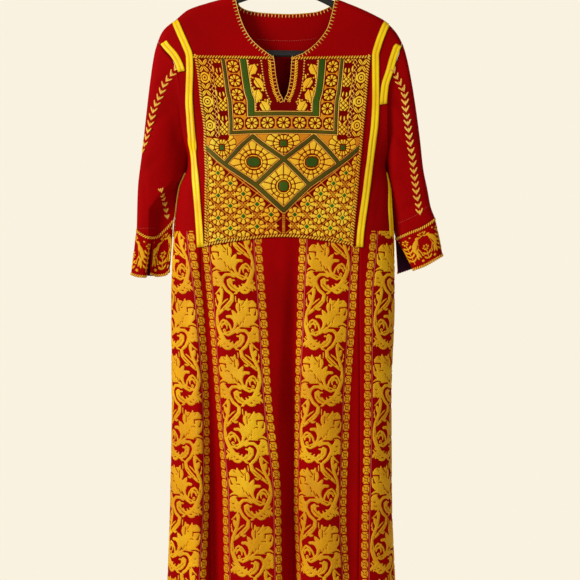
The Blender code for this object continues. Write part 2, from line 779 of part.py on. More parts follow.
def build_hanger_frame(mat):
    """The hanger's flat black frame, an oval bar bent to a closed loop."""
    path = smooth_path(HANGER_FRAME, FRAME_STEPS, True)
    count = len(path)
    verts = []
    for i, (x, z) in enumerate(path):
        run = path[(i + 1) % count] - path[i - 1]
        run /= np.linalg.norm(run)
        out = np.array([-run[1], run[0]])
        for k in range(FRAME_SIDES):
            a = 2 * math.pi * k / FRAME_SIDES
            rise = out * math.sin(a) * FRAME_HEIGHT / 2
            verts.append(((x + rise[0]) * MM, math.cos(a) * FRAME_DEPTH / 2 * MM, (z + rise[1]) * MM))
    faces = []
    for i in range(count):
        j = (i + 1) % count
        for k in range(FRAME_SIDES):
            m = (k + 1) % FRAME_SIDES
            faces.append((i * FRAME_SIDES + k, i * FRAME_SIDES + m, j * FRAME_SIDES + m, j * FRAME_SIDES + k))
    mesh = bpy.data.meshes.new("hanger_frame")
    mesh.from_pydata(verts, [], faces)
    mesh.update()
    add_object("hanger_frame", mesh, mat)


def build_hook(mat):
    curve = bpy.data.curves.new("hanger_hook", "CURVE")
    curve.dimensions = "3D"
    curve.bevel_depth = HOOK_WIRE / 2 * MM
    curve.bevel_resolution = 2
    curve.use_fill_caps = True
    path = smooth_path(HOOK_PATH, HOOK_STEPS, False)
    spline = curve.splines.new("POLY")
    spline.points.add(len(path) - 1)
    for point, (x, z) in zip(spline.points, path):
        point.co = (x * MM, 0.0, z * MM, 1.0)
    add_object("hanger_hook", curve, mat)


def start_scene():
    for obj in list(bpy.data.objects):
        bpy.data.objects.remove(obj, do_unlink=True)
    collection = bpy.data.collections.new(COLLECTION)
    bpy.context.scene.collection.children.link(collection)


def main():
    start_scene()
    cloth = material("crimson_cotton", CRIMSON, 0.75)
    panel = material("embroidered_panel", PANEL_GOLD, 0.6)
    satin = material("yellow_satin", RIBBON_YELLOW, 0.35)
    black = material("black_plastic", HANGER_BLACK, 0.35)
    steel = material("chrome_hook", HOOK_STEEL, 0.2, 1.0)
    build_centre_front(cloth, panel)
    build_side_panels(cloth)
    build_centre_back(cloth)
    build_sleeves(cloth)
    build_ribbons(satin)
    build_hanger_frame(black)
    build_hook(steel)


main()
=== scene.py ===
# %% [markdown]
# # An embroidered thobe on a hanger
# A thobe is a long, loose dress that is cut from straight lengths of cloth and carries most of its
# beauty in thread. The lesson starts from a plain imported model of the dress, which fixes every size,
# and dresses it: fine cloth sheets, satin ribbons, and the gold embroidery as raised thread shapes.
# Sizes in the tables are millimetres. The right of the picture is +X, the front faces -Y.

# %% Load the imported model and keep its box
import json
import math

import bmesh
import bpy
import numpy as np
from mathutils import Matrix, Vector
from mathutils.bvhtree import BVHTree

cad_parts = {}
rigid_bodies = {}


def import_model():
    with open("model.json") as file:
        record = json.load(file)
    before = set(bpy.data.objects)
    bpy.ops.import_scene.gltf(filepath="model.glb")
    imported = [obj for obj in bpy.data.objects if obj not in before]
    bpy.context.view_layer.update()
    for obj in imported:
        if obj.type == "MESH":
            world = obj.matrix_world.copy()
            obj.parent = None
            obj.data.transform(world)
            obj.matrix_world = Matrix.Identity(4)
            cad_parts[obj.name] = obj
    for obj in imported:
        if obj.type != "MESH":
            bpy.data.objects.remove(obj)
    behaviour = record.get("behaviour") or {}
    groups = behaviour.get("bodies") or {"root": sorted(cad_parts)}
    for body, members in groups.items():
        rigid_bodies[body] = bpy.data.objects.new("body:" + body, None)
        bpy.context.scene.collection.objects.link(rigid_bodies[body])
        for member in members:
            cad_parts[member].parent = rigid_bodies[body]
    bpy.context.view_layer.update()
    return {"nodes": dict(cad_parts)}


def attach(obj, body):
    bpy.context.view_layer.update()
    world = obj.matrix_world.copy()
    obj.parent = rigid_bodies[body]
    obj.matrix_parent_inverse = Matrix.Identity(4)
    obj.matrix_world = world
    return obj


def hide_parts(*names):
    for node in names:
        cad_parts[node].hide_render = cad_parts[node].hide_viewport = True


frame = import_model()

MM = 0.001
print("nodes in the frame:", len(frame["nodes"]))

# %% [markdown]
# ## The camera first
# The photograph was taken straight on, from about two metres, and on the plane of the hanger each pixel
# covers 1.9 mm. So any pixel of the picture can be turned into a ray, and a ray into a place on the cloth.

# %% Camera at the photograph's angle
UNIT = 1.9
PIXEL = UNIT * MM
CAMERA_DISTANCE = 2.0
CAMERA_AIM = (0.0095, -0.667)
FRAME_PIXELS = 580
HALF_FRAME = FRAME_PIXELS // 2
SENSOR = 36


def photo_camera():
    data = bpy.data.cameras.new("photo_camera")
    data.sensor_width = SENSOR
    data.lens = SENSOR * CAMERA_DISTANCE / (PIXEL * FRAME_PIXELS)
    camera = bpy.data.objects.new("photo_camera", data)
    camera.location = (CAMERA_AIM[0], -CAMERA_DISTANCE, CAMERA_AIM[1])
    camera.rotation_euler = (math.pi / 2, 0, 0)
    bpy.context.scene.collection.objects.link(camera)
    bpy.context.scene.camera = camera
    return camera


camera = photo_camera()
print("lens in millimetres:", round(camera.data.lens, 1))

# %% [markdown]
# ## A pale floor and soft light
# A large lamp on the left front gives the cloth its form, a weaker one on the right fills the shadows,
# and one behind keeps the back of the dress readable. The floor ends just below the picture's edge, so
# that the background stays one plain pale cream.

# %% Floor, lamps and background
FLOOR_HEIGHT = -1.505
FLOOR_RADIUS = 0.88
AMBIENT_STRENGTH = 0.36

# Lamps: name, place, the point it aims at, size and power, and its colour
LAMPS = (
    ("key_lamp", (-2.5, -1.7, 0.6), (0, 0, -0.6), 1.2, 100, (1.0, 0.97, 0.92)),
    ("fill_lamp", (1.2, -2.6, -0.5), (0, 0, -0.8), 1.6, 12, (1.0, 0.98, 0.96)),
    ("back_lamp", (0.6, 2.4, 0.3), (0, 0, -0.7), 1.6, 58, (1.0, 0.98, 0.95)),
)


def linear(red, green, blue):
    """A screen colour from 0 to 255, turned into the linear values that a shader wants."""
    result = []
    for value in (red, green, blue):
        value = value / 255
        result.append(value / 12.92 if value <= 0.04045 else ((value + 0.055) / 1.055) ** 2.4)
    return (*result, 1.0)


def area_lamp(name, place, aim, size, power, colour):
    data = bpy.data.lights.new(name, "AREA")
    data.shape = "SQUARE"
    data.size = size
    data.energy = power
    data.color = colour
    lamp = bpy.data.objects.new(name, data)
    lamp.location = place
    lamp.rotation_euler = (Vector(aim) - Vector(place)).to_track_quat("-Z", "Y").to_euler()
    bpy.context.scene.collection.objects.link(lamp)


def pale_world():
    """A room that lights the dress softly, and a paler background for the camera alone."""
    world = bpy.data.worlds.new("pale_room")
    world.use_nodes = True
    nodes, links = world.node_tree.nodes, world.node_tree.links
    ambient = nodes["Background"]
    ambient.inputs["Color"].default_value = linear(246, 236, 222)
    ambient.inputs["Strength"].default_value = AMBIENT_STRENGTH
    backdrop = nodes.new("ShaderNodeBackground")
    backdrop.inputs["Color"].default_value = linear(250, 242, 224)
    seen = nodes.new("ShaderNodeLightPath")
    either = nodes.new("ShaderNodeMixShader")
    links.new(seen.outputs["Is Camera Ray"], either.inputs[0])
    links.new(ambient.outputs[0], either.inputs[1])
    links.new(backdrop.outputs[0], either.inputs[2])
    links.new(either.outputs[0], nodes["World Output"].inputs[0])
    bpy.context.scene.world = world


def pale_floor():
    bpy.ops.object.select_all(action="DESELECT")
    bpy.ops.mesh.primitive_circle_add(vertices=96, radius=FLOOR_RADIUS, fill_type="NGON",
                                      location=(0, 0, FLOOR_HEIGHT))
    floor = bpy.context.object
    floor.name = "floor"
    bpy.ops.object.transform_apply(location=True, rotation=True, scale=True)
    paint = bpy.data.materials.new("pale_floor")
    paint.use_nodes = True
    shader = paint.node_tree.nodes["Principled BSDF"]
    shader.inputs["Base Color"].default_value = linear(226, 216, 202)
    shader.inputs["Roughness"].default_value = 0.8
    floor.data.materials.append(paint)


for lamp_row in LAMPS:
    area_lamp(*lamp_row)
pale_world()
bpy.context.scene.view_settings.view_transform = "Standard"
pale_floor()
print("floor height in metres:", FLOOR_HEIGHT)

# %% [markdown]
# ## The tables that fix the dress
# The plain model was worked out from these tables, so the fine cloth starts from the same ones. Each
# heading names its table's columns. A smooth curve through the rows gives every value in between.

# %% Tables of the dress's shape
# Shoulder rounding over the hanger arms
SHOULDER_RADIUS = 10.0

# Where the side seams sit round the body, in degrees from the front centre, and where they start
LEFT_SEAM_ANGLE = 93.0
RIGHT_SEAM_ANGLE = 76.0
UNDERARM_ANGLE = 90.0

# The line over the shoulders: x, height
SHOULDER_LINE = (
    (-253, -249), (-247, -217), (-241, -196), (-228, -173), (-203, -152), (-179, -135), (-120, -116),
    (-95, -108), (-48, -93), (0, -80), (48, -93), (95, -114), (120, -124), (173, -148), (188, -156),
    (201, -168), (213, -183), (223, -201), (229, -219), (236, -246),
)

# Body sections: height, left edge, right edge, front depth, back depth
BODY_SECTIONS = (
    (-80, -262, 256, 13, 12),
    (-150, -262, 256, 16, 14),
    (-230, -262, 256, 24, 21),
    (-300, -258, 250, 31, 27),
    (-340, -236, 236, 34, 30),
    (-382, -206, 211, 36, 32),
    (-412, -184, 193.5, 37, 33),
    (-430, -184, 190, 38, 34),
    (-477, -200, 199, 40, 35),
    (-562, -210, 206, 43, 38),
    (-640, -214, 207, 46, 40),
    (-686, -215, 207, 48, 42),
    (-876, -214, 201, 55, 48),
    (-1066, -217, 202, 62, 54),
    (-1218, -222, 208, 66, 58),
    (-1484, -233, 217, 74, 64),
)

# Long seams under the ribbons: height, left x, right x
LONG_SEAMS = (
    (-156, -209, 195), (-182, -198, 184), (-207, -187, 175), (-228, -179.5, 170), (-258, -178.5, 170),
    (-302, -179.5, 170), (-353, -176.5, 168), (-395, -173, 163), (-480, -165.5, 152), (-590, -157.5, 139),
    (-686, -155, 138), (-876, -149, 139), (-1066, -141, 138), (-1218, -139, 136), (-1484, -139, 136),
)

# Side edges of the chest panel, carried on down as fold lines: height, left x, right x
PANEL_EDGES = (
    (-100, -190, 176), (-160, -188, 176), (-227, -170, 161), (-268, -163, 156), (-314, -158, 152),
    (-380, -150, 145), (-496, -149, 135), (-587, -149, 127), (-686, -141, 124), (-876, -130, 118),
    (-1066, -122, 114), (-1218, -120, 110), (-1484, -120, 109),
)

# Neck edge, slit and centre line: height, left x, right x
NECK_AND_SLIT = (
    (-100, -97, 98), (-112, -94, 95), (-146, -86, 88), (-173, -76, 80), (-192, -65, 68), (-208, -50, 53),
    (-222, -32, 34), (-230, -21, 13), (-268, -16, 10), (-297, -10, 5), (-315, -2, -2), (-350, -2, -2),
    (-1484, -2, -2),
)

# Armhole seams: height, left x, right x
ARMHOLES = (
    (-196, -241, 223), (-211, -231, 219), (-234, -212, 211), (-258, -202, 204), (-287, -198, 195),
    (-325, -197, 192), (-367, -192, 192), (-412, -184, 193.5),
)

SEAM_TABLES = (ARMHOLES, LONG_SEAMS, NECK_AND_SLIT)

# Back neck edge: x, height
BACK_NECK = (
    (-95, -109), (-87, -124), (-68, -133), (-38, -137), (8, -139), (53, -136), (84, -126), (95, -114),
)

# Rows from shoulder to hem: height at the side seam, at the long seam, at the centre
ROWS = (
    (-196, -156, -108), (-199, -157.5, -109.5), (-205, -161, -113), (-213, -167, -119), (-222, -178, -142),
    (-234, -192, -175), (-247, -208, -203), (-262, -227, -230), (-278, -249, -250), (-297, -272, -270),
    (-318, -296, -292), (-341, -317, -315), (-364, -349, -346), (-386, -382, -376), (-403, -406, -398),
    (-412, -426, -418), (-444, -463, -452), (-486, -504, -490), (-526, -546, -528), (-564, -587, -568),
    (-596, -614, -600), (-634, -648, -640), (-680, -690, -685), (-738, -740, -740), (-802, -802, -802),
    (-870, -870, -870), (-945, -945, -945), (-1025, -1025, -1025), (-1110, -1110, -1110),
    (-1200, -1200, -1200), (-1293, -1293, -1293), (-1388, -1388, -1388), (-1484, -1484, -1484),
)
TOP_FADE = (1.0, 1.0, 1.0, 1.0, 0.75, 0.5, 0.25)
PANEL_TOP_ROW = 7
SLIT_TIP_ROW = 11
UNDERARM_ROW = 15
PANEL_FOOT_ROW = 19

# Right side of the shoulder sits lower by these amounts at the side, long seam and centre
RIGHT_DROP = (-5.0, -4.0, -6.0)

# Folds of the skirt: x at waist, knee and hem, depth at waist, knee and hem, half width
FRONT_FOLDS = (
    (-150, -134, -127, 3, 25, 33, 17),
    (22, 12, 16, 2, 26, 36, 15),
    (132, 122, 119, 2, 9, 15, 24),
    (-75, -60, -55, 0, -6, -9, 34),
    (80, 66, 66, 0, -5, -8, 30),
    (-196, -186, -186, 1, 7, 10, 16),
)
BACK_FOLDS = (
    (-120, -108, -104, 1, 15, 24, 24),
    (4, 0, -6, 1, 12, 20, 26),
    (118, 106, 108, 1, 14, 22, 24),
    (-60, -54, -56, 0, -5, -8, 30),
    (62, 54, 54, 0, -5, -8, 30),
)
FOLD_HEIGHTS = (-575, -960, -1484)
FOLD_START = -470
FOLD_FADE = 160

# Sleeve outlines, cuff edges: x, height
LEFT_OUTLINE = (
    (-241, -196), (-247, -217), (-255, -268), (-264, -344), (-270, -399), (-279, -477), (-281, -551),
)
LEFT_INSEAM = ((-184, -412), (-205, -436), (-212, -466), (-216, -496), (-218, -534))
LEFT_WRIST = ((-218, -534), (-232, -552), (-246, -565), (-256, -566), (-270, -560), (-281, -551))
LEFT_WRIST_BACK = ((-218, -534), (-250, -545), (-281, -551))
LEFT_FOOT_INNER = ((-220, -633), (-228, -640), (-243, -642), (-256, -637))
LEFT_FOOT_OUTER = ((-262, -644), (-276, -643), (-292, -638))
LEFT_FOOT_BACK = ((-220, -633), (-250, -640), (-292, -638))
RIGHT_OUTLINE = ((223, -201), (229, -220), (236, -250), (247, -315), (256, -382), (262, -437), (270, -477),
                 (276, -509), (284, -530))
RIGHT_INSEAM = ((195.5, -412), (209, -435), (211, -477), (213, -524), (216, -568))
RIGHT_WRIST = ((216, -568), (236, -558), (255, -550), (272, -540), (284, -530))
RIGHT_WRIST_BACK = ((216, -568), (250, -552), (284, -530))
RIGHT_FOOT = ((243, -630), (262, -623), (280, -613), (299, -602))
RIGHT_FLARE = (12, 8)
RIGHT_FOOT_BACK = ((216, -636), (255, -622), (299, -602))

# Sleeve depth in front and behind: share of the way down, front, back
SLEEVE_DEPTHS = ((0.0, 26, 22), (0.3, 27, 23), (0.6, 23, 20), (1.0, 20, 17))
LEFT_SLIT_ROW = 8
LEFT_SLIT_WIDTH = 6.0
LEFT_SLIT_START = 0.25

# The fold across the left sleeve: x, height of its start, its corner and its foot
SLEEVE_FOLD = ((-180, -404), (-257, -517), (-259, -660))
SLEEVE_FOLD_WIDTH = 9.0
SLEEVE_FOLD_SHARE = 0.9

# Gaps between neighbouring pieces, thickness of the sheets, and the panel's lift off the front
SEAM_GAP = 0.4
RIDGE_GAP = 1.2
SIDE_GAP = 0.9
SLEEVE_GAP = 0.5
INSEAM_GAP = 1.6
CUFF_GAP = 0.5
CLOTH = 1.1
PANEL_LIFT = 1.85
PANEL_CLOTH = 1.0
ROW_TABLE = np.array(ROWS, float)
SIDES = ((False, "left"), (True, "right"))
FACES = ((False, "front"), (True, "back"))
print("rows from shoulder to hem:", len(ROWS))

# %% [markdown]
# ## Curves through a table
# Slopes at the rows are the harmonic mean of the grades on both sides, and zero where the table turns
# back, so that a neckline or a seam never overshoots between its rows.

# %% Smooth curves through tables


def curve(keys, values, at):
    """Values of a smooth curve through a table, held level past its ends."""
    keys = np.asarray(keys, float)
    values = np.asarray(values, float)
    if keys[0] > keys[-1]:
        keys = keys[::-1]
        values = values[::-1]
    grades = np.diff(values) / np.diff(keys)
    slopes = np.zeros(len(keys))
    slopes[0] = grades[0]
    slopes[-1] = grades[-1]
    for i in range(1, len(keys) - 1):
        if grades[i - 1] * grades[i] > 0:
            slopes[i] = 2 * grades[i - 1] * grades[i] / (grades[i - 1] + grades[i])
    at = np.clip(np.asarray(at, float), keys[0], keys[-1])
    i = np.clip(np.searchsorted(keys, at) - 1, 0, len(keys) - 2)
    step = keys[i + 1] - keys[i]
    t = (at - keys[i]) / step
    start = (2 * t ** 3 - 3 * t ** 2 + 1) * values[i] + (t ** 3 - 2 * t ** 2 + t) * step * slopes[i]
    end = (-2 * t ** 3 + 3 * t ** 2) * values[i + 1] + (t ** 3 - t ** 2) * step * slopes[i + 1]
    return start + end


def column(table, key, value, at):
    """One column of a table, read at a key."""
    return curve([row[key] for row in table], [row[value] for row in table], at)


def ease(t):
    """A soft step from 0 to 1."""
    t = np.clip(t, 0.0, 1.0)
    return t * t * (3 - 2 * t)


def run_lengths(points):
    """The length of a line of points from its start to each of them."""
    return np.concatenate(([0.0], np.cumsum(np.linalg.norm(np.diff(points, axis=0), axis=1))))


def along(points, share):
    """Points a share of the way along a line of x, height points."""
    points = np.asarray(points, float)
    lengths = run_lengths(points)
    at = np.asarray(share, float) * lengths[-1]
    return np.stack((curve(lengths, points[:, 0], at), curve(lengths, points[:, 1], at)), axis=-1)


print("left edge of the dress at the waist:", round(float(column(BODY_SECTIONS, 0, 1, -580)), 1))

# %% [markdown]
# ## The body as one surface
# A point of the body is named by an angle round it and a height. The cloth is flattened front and back,
# comes round the shoulders on a small radius, and is pushed in by the folds of the skirt. A few drag
# lines from the underarms and the waist are laid on top. The sheets, ribbons and threads of the
# body are all placed on this one surface, so nothing floats.

# %% The body's surface

# Creases: which side (front or back), start x and height, end x and height, half width, depth
CREASES = (
    ("front", -182, -425, -148, -500, 9, 1.6), ("front", -178, -440, -160, -560, 7, 1.3),
    ("front", 188, -425, 150, -505, 9, 1.6), ("front", 184, -445, 168, -560, 7, 1.3),
    ("front", -60, -590, -30, -700, 16, 1.5), ("front", 60, -590, 92, -720, 15, 1.3),
    ("front", -18, -590, -6, -690, 12, 1.4), ("front", -205, -120, -150, -190, 12, 0.8),
    ("front", -196, -700, -176, -860, 13, 1.5), ("front", 186, -690, 170, -880, 12, 1.5),
    ("front", 60, -900, 40, -1160, 14, 1.4), ("front", -92, -980, -84, -1240, 16, 1.5),
    ("back", -150, -420, -96, -540, 12, 1.8), ("back", 150, -420, 90, -545, 12, 1.8),
    ("back", -40, -190, -66, -330, 16, 1.2), ("back", 46, -190, 70, -340, 16, 1.2),
    ("back", 0, -420, 8, -640, 18, 1.5), ("back", -150, -720, -136, -980, 14, 1.6),
    ("back", 144, -720, 140, -990, 14, 1.6), ("back", 40, -900, 34, -1300, 15, 1.6),
)


def crease_depth(creases, side, x, z, tail=0.08):
    """How far the small creases of one side push the cloth in; a tail sets how they fade at their ends."""
    total = np.zeros(np.broadcast(x, z).shape)
    for where, x0, z0, x1, z1, half_width, depth in creases:
        if where != side:
            continue
        run = np.array([x1 - x0, z1 - z0], float)
        share = np.clip(((x - x0) * run[0] + (z - z0) * run[1]) / (run @ run), 0, 1)
        gap = np.hypot(x - x0 - run[0] * share, z - z0 - run[1] * share)
        ends = np.sin(math.pi * (tail + (1 - 2 * tail) * share))
        total = total + depth * np.exp(-(gap / half_width) ** 2) * ends
    return total


def shoulder_height(x):
    return column(SHOULDER_LINE, 0, 1, x)


def shoulder_round(x, z):
    """How far the cloth has come round the shoulder: 0 on the ridge, 1 below it."""
    slope = (shoulder_height(x + 2) - shoulder_height(x - 2)) / 4
    drop = (shoulder_height(x) - z) / np.sqrt(1 + slope * slope)
    t = np.clip(drop / SHOULDER_RADIUS, 0.0, 1.0)
    return np.sqrt(np.maximum(0.0, 1 - (1 - t) ** 2))


def fold_depth(folds, x, z):
    """How far the skirt's folds push the cloth in."""
    total = np.zeros(np.broadcast(x, z).shape)
    for waist_x, knee_x, hem_x, waist, knee, hem, half_width in folds:
        centre = curve(FOLD_HEIGHTS, (waist_x, knee_x, hem_x), z)
        depth = curve(FOLD_HEIGHTS, (waist, knee, hem), z)
        total = total + depth * np.exp(-((x - centre) / half_width) ** 2)
    return total * ease((FOLD_START - z) / FOLD_FADE)


def body_edges(z):
    left = column(BODY_SECTIONS, 0, 1, z)
    right = column(BODY_SECTIONS, 0, 2, z)
    return (left + right) / 2, (right - left) / 2


def body_point(angle, z):
    """Points of the middle of the body's cloth, from the angle round it and the height."""
    angle, z = np.broadcast_arrays(np.asarray(angle, float), np.asarray(z, float))
    centre, half = body_edges(z)
    x = centre + half * np.sin(angle)
    c = np.cos(angle)
    facing = np.minimum(1.0, 1.4 * np.abs(c))
    rounding = np.abs(c) * (2 - np.abs(c)) * shoulder_round(x, z)
    front = column(BODY_SECTIONS, 0, 3, z) * rounding
    front = front - (fold_depth(FRONT_FOLDS, x, z) + crease_depth(CREASES, "front", x, z)) * facing
    back = column(BODY_SECTIONS, 0, 4, z) * rounding
    back = back - (fold_depth(BACK_FOLDS, x, z) + crease_depth(CREASES, "back", x, z)) * facing
    return np.stack((x, np.where(c >= 0, -front, back), z), axis=-1)


def body_normal(angle, z):
    """The direction out of the body's cloth."""
    across = body_point(angle + 0.01, z) - body_point(angle - 0.01, z)
    down = body_point(angle, z - 1.5) - body_point(angle, z + 1.5)
    normal = np.cross(down, across)
    return normal / np.linalg.norm(normal, axis=-1, keepdims=True)


def angle_at(x, z, back=False):
    """The angle round the body of a point on its front or its back."""
    centre, half = body_edges(z)
    angle = np.arcsin(np.clip((x - centre) / half, -1.0, 1.0))
    if not back:
        return angle
    return np.copysign(math.pi, angle) - angle


print("front of the dress at the waist:", np.round(body_point(0.0, -580.0), 1))

# %% [markdown]
# ## From rows to sheets
# Each sheet is a grid: rows run across it from the shoulder to the hem, and its first and last columns
# are its seams. The plain model has 33 rows. Here each gap between two rows is divided until the rows
# are about 8 mm apart, and columns are about 4 mm apart, fine enough for the sharp valleys of the skirt.

# %% Grids of the body's sheets
ROW_STEP = 8.0
COLUMN_STEP = 4.4

# Widths in millimetres that set how many columns each sheet gets
SIDE_PANEL_WIDTH = 112
CENTRE_HALF_WIDTH = {False: 150, True: 138}
CENTRE_BACK_WIDTH = 330


def fine_rows(first, last):
    """Row numbers between two rows, close enough together."""
    marks = []
    for row in range(first, last):
        drop = np.max(ROW_TABLE[row] - ROW_TABLE[row + 1])
        count = max(1, round(drop / ROW_STEP))
        marks.extend(row + i / count for i in range(count))
    return np.array(marks + [last], float)


def row_height(rows, where, right):
    """The height of a row at the side seam (0), the long seam (1) or the centre (2)."""
    shift = RIGHT_DROP[where] if right else 0.0
    return np.interp(rows, np.arange(len(ROWS)), ROW_TABLE[:, where]) + shift * np.maximum(0.0, 1 - rows / 8)


def seam_x(rows, where, right):
    return column(SEAM_TABLES[where], 0, 2 if right else 1, row_height(rows, where, right))


def side_seam(rows, right):
    """The angle of a side seam, which drifts round from the underarm."""
    low = RIGHT_SEAM_ANGLE if right else LEFT_SEAM_ANGLE
    angle = UNDERARM_ANGLE + (low - UNDERARM_ANGLE) * ease((rows - UNDERARM_ROW) / 3)
    return np.radians(angle if right else -angle)


def seam_angle(rows, where, right, back):
    """The angle round the body of a seam."""
    rows = np.asarray(rows, float)
    angle = angle_at(seam_x(rows, where, right), row_height(rows, where, right), back)
    if where:
        return angle
    return np.where(rows >= UNDERARM_ROW, side_seam(rows, right), angle)


def fine_columns(width):
    """Shares from 0 to 1 across a width, close enough together."""
    return np.linspace(0, 1, max(3, round(width / COLUMN_STEP)) + 1)


def between(rows, seams, right, back, gaps, shares, bowed=False):
    """Angles and heights across rows between two seams, following the shoulder at the top."""
    angles = [seam_angle(rows, where, right, back)[:, None] for where in seams]
    heights = [row_height(rows, where, right)[:, None] for where in seams]
    ends = [body_point(a, z) for a, z in zip(angles, heights)]
    width = np.maximum(np.linalg.norm(ends[1] - ends[0], axis=-1), 1.0)
    t = gaps[0] / 2 / width + (1 - (gaps[0] + gaps[1]) / 2 / width) * shares
    top_x = [float(seam_x(0.0, where, right)) for where in seams]
    top_z = [float(row_height(0.0, where, right)) for where in seams]
    fade = np.interp(rows, range(len(TOP_FADE) + 1), (*TOP_FADE, 0.0))[:, None]
    line = shoulder_height(top_x[0] + (top_x[1] - top_x[0]) * t) - top_z[0] - (top_z[1] - top_z[0]) * t
    rise = t
    if bowed:
        arch = (np.sqrt(t * t + 0.09) - 0.3) / (math.sqrt(1.09) - 0.3)
        rise = t + (arch - t) * ease((rows[:, None] - SLIT_TIP_ROW) / 4)
    height = heights[0] + (heights[1] - heights[0]) * rise + line * fade
    return angles[0] + (angles[1] - angles[0]) * t, height


def raised(angle, z, back, lift=0.0):
    """Points of the cloth moved out by a lift, front and back kept apart along the shoulder."""
    points = body_point(angle, z)
    near_ridge = shoulder_round(points[..., 0], points[..., 2]) <= 0.7
    side = 1 if back else -1
    kept = side * np.maximum(side * points[..., 1], RIDGE_GAP / 2)
    points[..., 1] = np.where(near_ridge, kept, points[..., 1])
    if np.any(lift):
        points = points + body_normal(angle, z) * lift
    return points


def side_panel(right, back):
    """The angles and heights of a side front or side back, left to right as seen from outside."""
    rows = fine_rows(0, len(ROWS) - 1)
    seams = (1, 0)
    gaps = (SEAM_GAP, SIDE_GAP)
    angle, z = between(rows, seams, right, back, gaps, fine_columns(SIDE_PANEL_WIDTH))
    if right == back:
        return angle[:, ::-1], z[:, ::-1]
    return angle, z


def panel_edge_share(rows, right):
    """How far from the centre line (0) to the long seam (1) the chest panel's edge lies."""
    low = row_height(rows, 1, right)
    edge = angle_at(column(PANEL_EDGES, 0, 2 if right else 1, low), low)
    start = seam_angle(rows, 2, right, False)
    end = seam_angle(rows, 1, right, False)
    return ((edge - start) / (end - start))[:, None]


def centre_half(right):
    """Angles and heights of half the centre front, centre first, its rows, and its columns on the panel."""
    rows = fine_rows(0, len(ROWS) - 1)
    edge_share = panel_edge_share(rows, right)
    shares = fine_columns(CENTRE_HALF_WIDTH[right])
    outer = np.linspace(0, 1, 5)[None, 1:]
    t = np.concatenate((shares * edge_share, edge_share + (1 - edge_share) * outer), axis=1)
    return (*between(rows, (2, 1), right, False, (0.0, SEAM_GAP), t, bowed=True), rows, len(shares))


def centre_back():
    """The angles and heights of the centre back, as seen from outside."""
    rows = fine_rows(0, len(ROWS) - 1)[:, None]
    heights = [row_height(rows, 1, right) for right in (False, True)]
    xs = [seam_x(rows, 1, right) for right in (False, True)]
    share = SEAM_GAP / 2 / (xs[1] - xs[0])
    t = share + (1 - 2 * share) * fine_columns(CENTRE_BACK_WIDTH)[None]
    x = xs[0] + (xs[1] - xs[0]) * t
    tops = [float(row_height(0.0, 1, right)) for right in (False, True)]
    top_xs = [float(seam_x(0.0, 1, right)) for right in (False, True)]
    top_x = top_xs[0] + (top_xs[1] - top_xs[0]) * t
    inside = (top_x > BACK_NECK[0][0]) & (top_x < BACK_NECK[-1][0])
    top = np.where(inside, column(BACK_NECK, 0, 1, top_x), shoulder_height(top_x))
    fade = 1 - ease((rows - 3) / 9)
    z = heights[0] + (heights[1] - heights[0]) * t + (top - tops[0] - (tops[1] - tops[0]) * t) * fade
    return angle_at(x, z, True)[:, ::-1], z[:, ::-1]


print("rows in a fine sheet:", len(fine_rows(0, len(ROWS) - 1)))

# %% [markdown]
# ## Sleeves and cuffs
# A sleeve is a flat tube. Its front and back are each blended from four edges: the armhole, the outline,
# the seam under the arm and the wrist. The left sleeve of the picture is folded across the elbow, so its
# front drops back sharply on one side of a slanting line. A cuff hangs from the sleeve's last row.

# %% Grids of the sleeves and cuffs

# Sleeve creases: right sleeve or left, start x and height, end x and height, half width, depth
SLEEVE_CREASES = (
    (True, 206, -300, 238, -352, 7, 2.2), (True, 204, -362, 248, -420, 7, 2.4),
    (True, 212, -452, 258, -470, 8, 2.2), (True, 222, -520, 262, -500, 8, 1.8),
    (True, 232, -270, 240, -330, 6, 1.5),
    (False, -258, -300, -214, -262, 7, 2.0), (False, -262, -372, -222, -330, 8, 2.2),
    (False, -276, -452, -240, -420, 8, 2.0), (False, -262, -500, -270, -430, 6, 1.5),
)

# How far the loose cloth under the arm tucks in behind the body: share of the sleeve, left, right
UNDERARM_TUCK = ((0.0, 0, 0), (0.015, 9, 10), (0.05, 18, 18), (0.12, 22, 18), (0.2, 25, 17),
                 (0.3, 21, 15), (0.42, 15, 13), (0.55, 11, 12), (0.8, 9, 9), (1.0, 5, 5))

# Edges of a sleeve: outline, seam under the arm, wrist in front and wrist behind
SLEEVE_EDGES = {
    False: (LEFT_OUTLINE, LEFT_INSEAM, LEFT_WRIST, LEFT_WRIST_BACK),
    True: (RIGHT_OUTLINE, RIGHT_INSEAM, RIGHT_WRIST, RIGHT_WRIST_BACK),
}
SLEEVE_CREASE_TAIL = 0.1


def armhole_points(right, back, rows):
    """Points of the armhole on the given rows, moved out from the body by the sleeve's gap."""
    angle = seam_angle(rows, 0, right, back)
    points = raised(angle, row_height(rows, 0, right), back)
    flat = points[:, [0, 2]]
    run = np.gradient(flat, axis=0)
    run = run / np.linalg.norm(run, axis=1, keepdims=True)
    out = np.stack((run[:, 1], -run[:, 0]), axis=1) * (1 if right else -1)
    points[:, 0] += out[:, 0] * SLEEVE_GAP
    points[:, 2] += out[:, 1] * SLEEVE_GAP
    return points


def shares_of(points):
    lengths = run_lengths(points[:, [0, 2]])
    return lengths / lengths[-1]


def fullness(p):
    """How full a sleeve is across its width: 0 at both edges, 1 in the middle."""
    c = np.sqrt(np.maximum(0.0, 1 - (2 * p - 1) ** 2))
    return c * (2 - c)


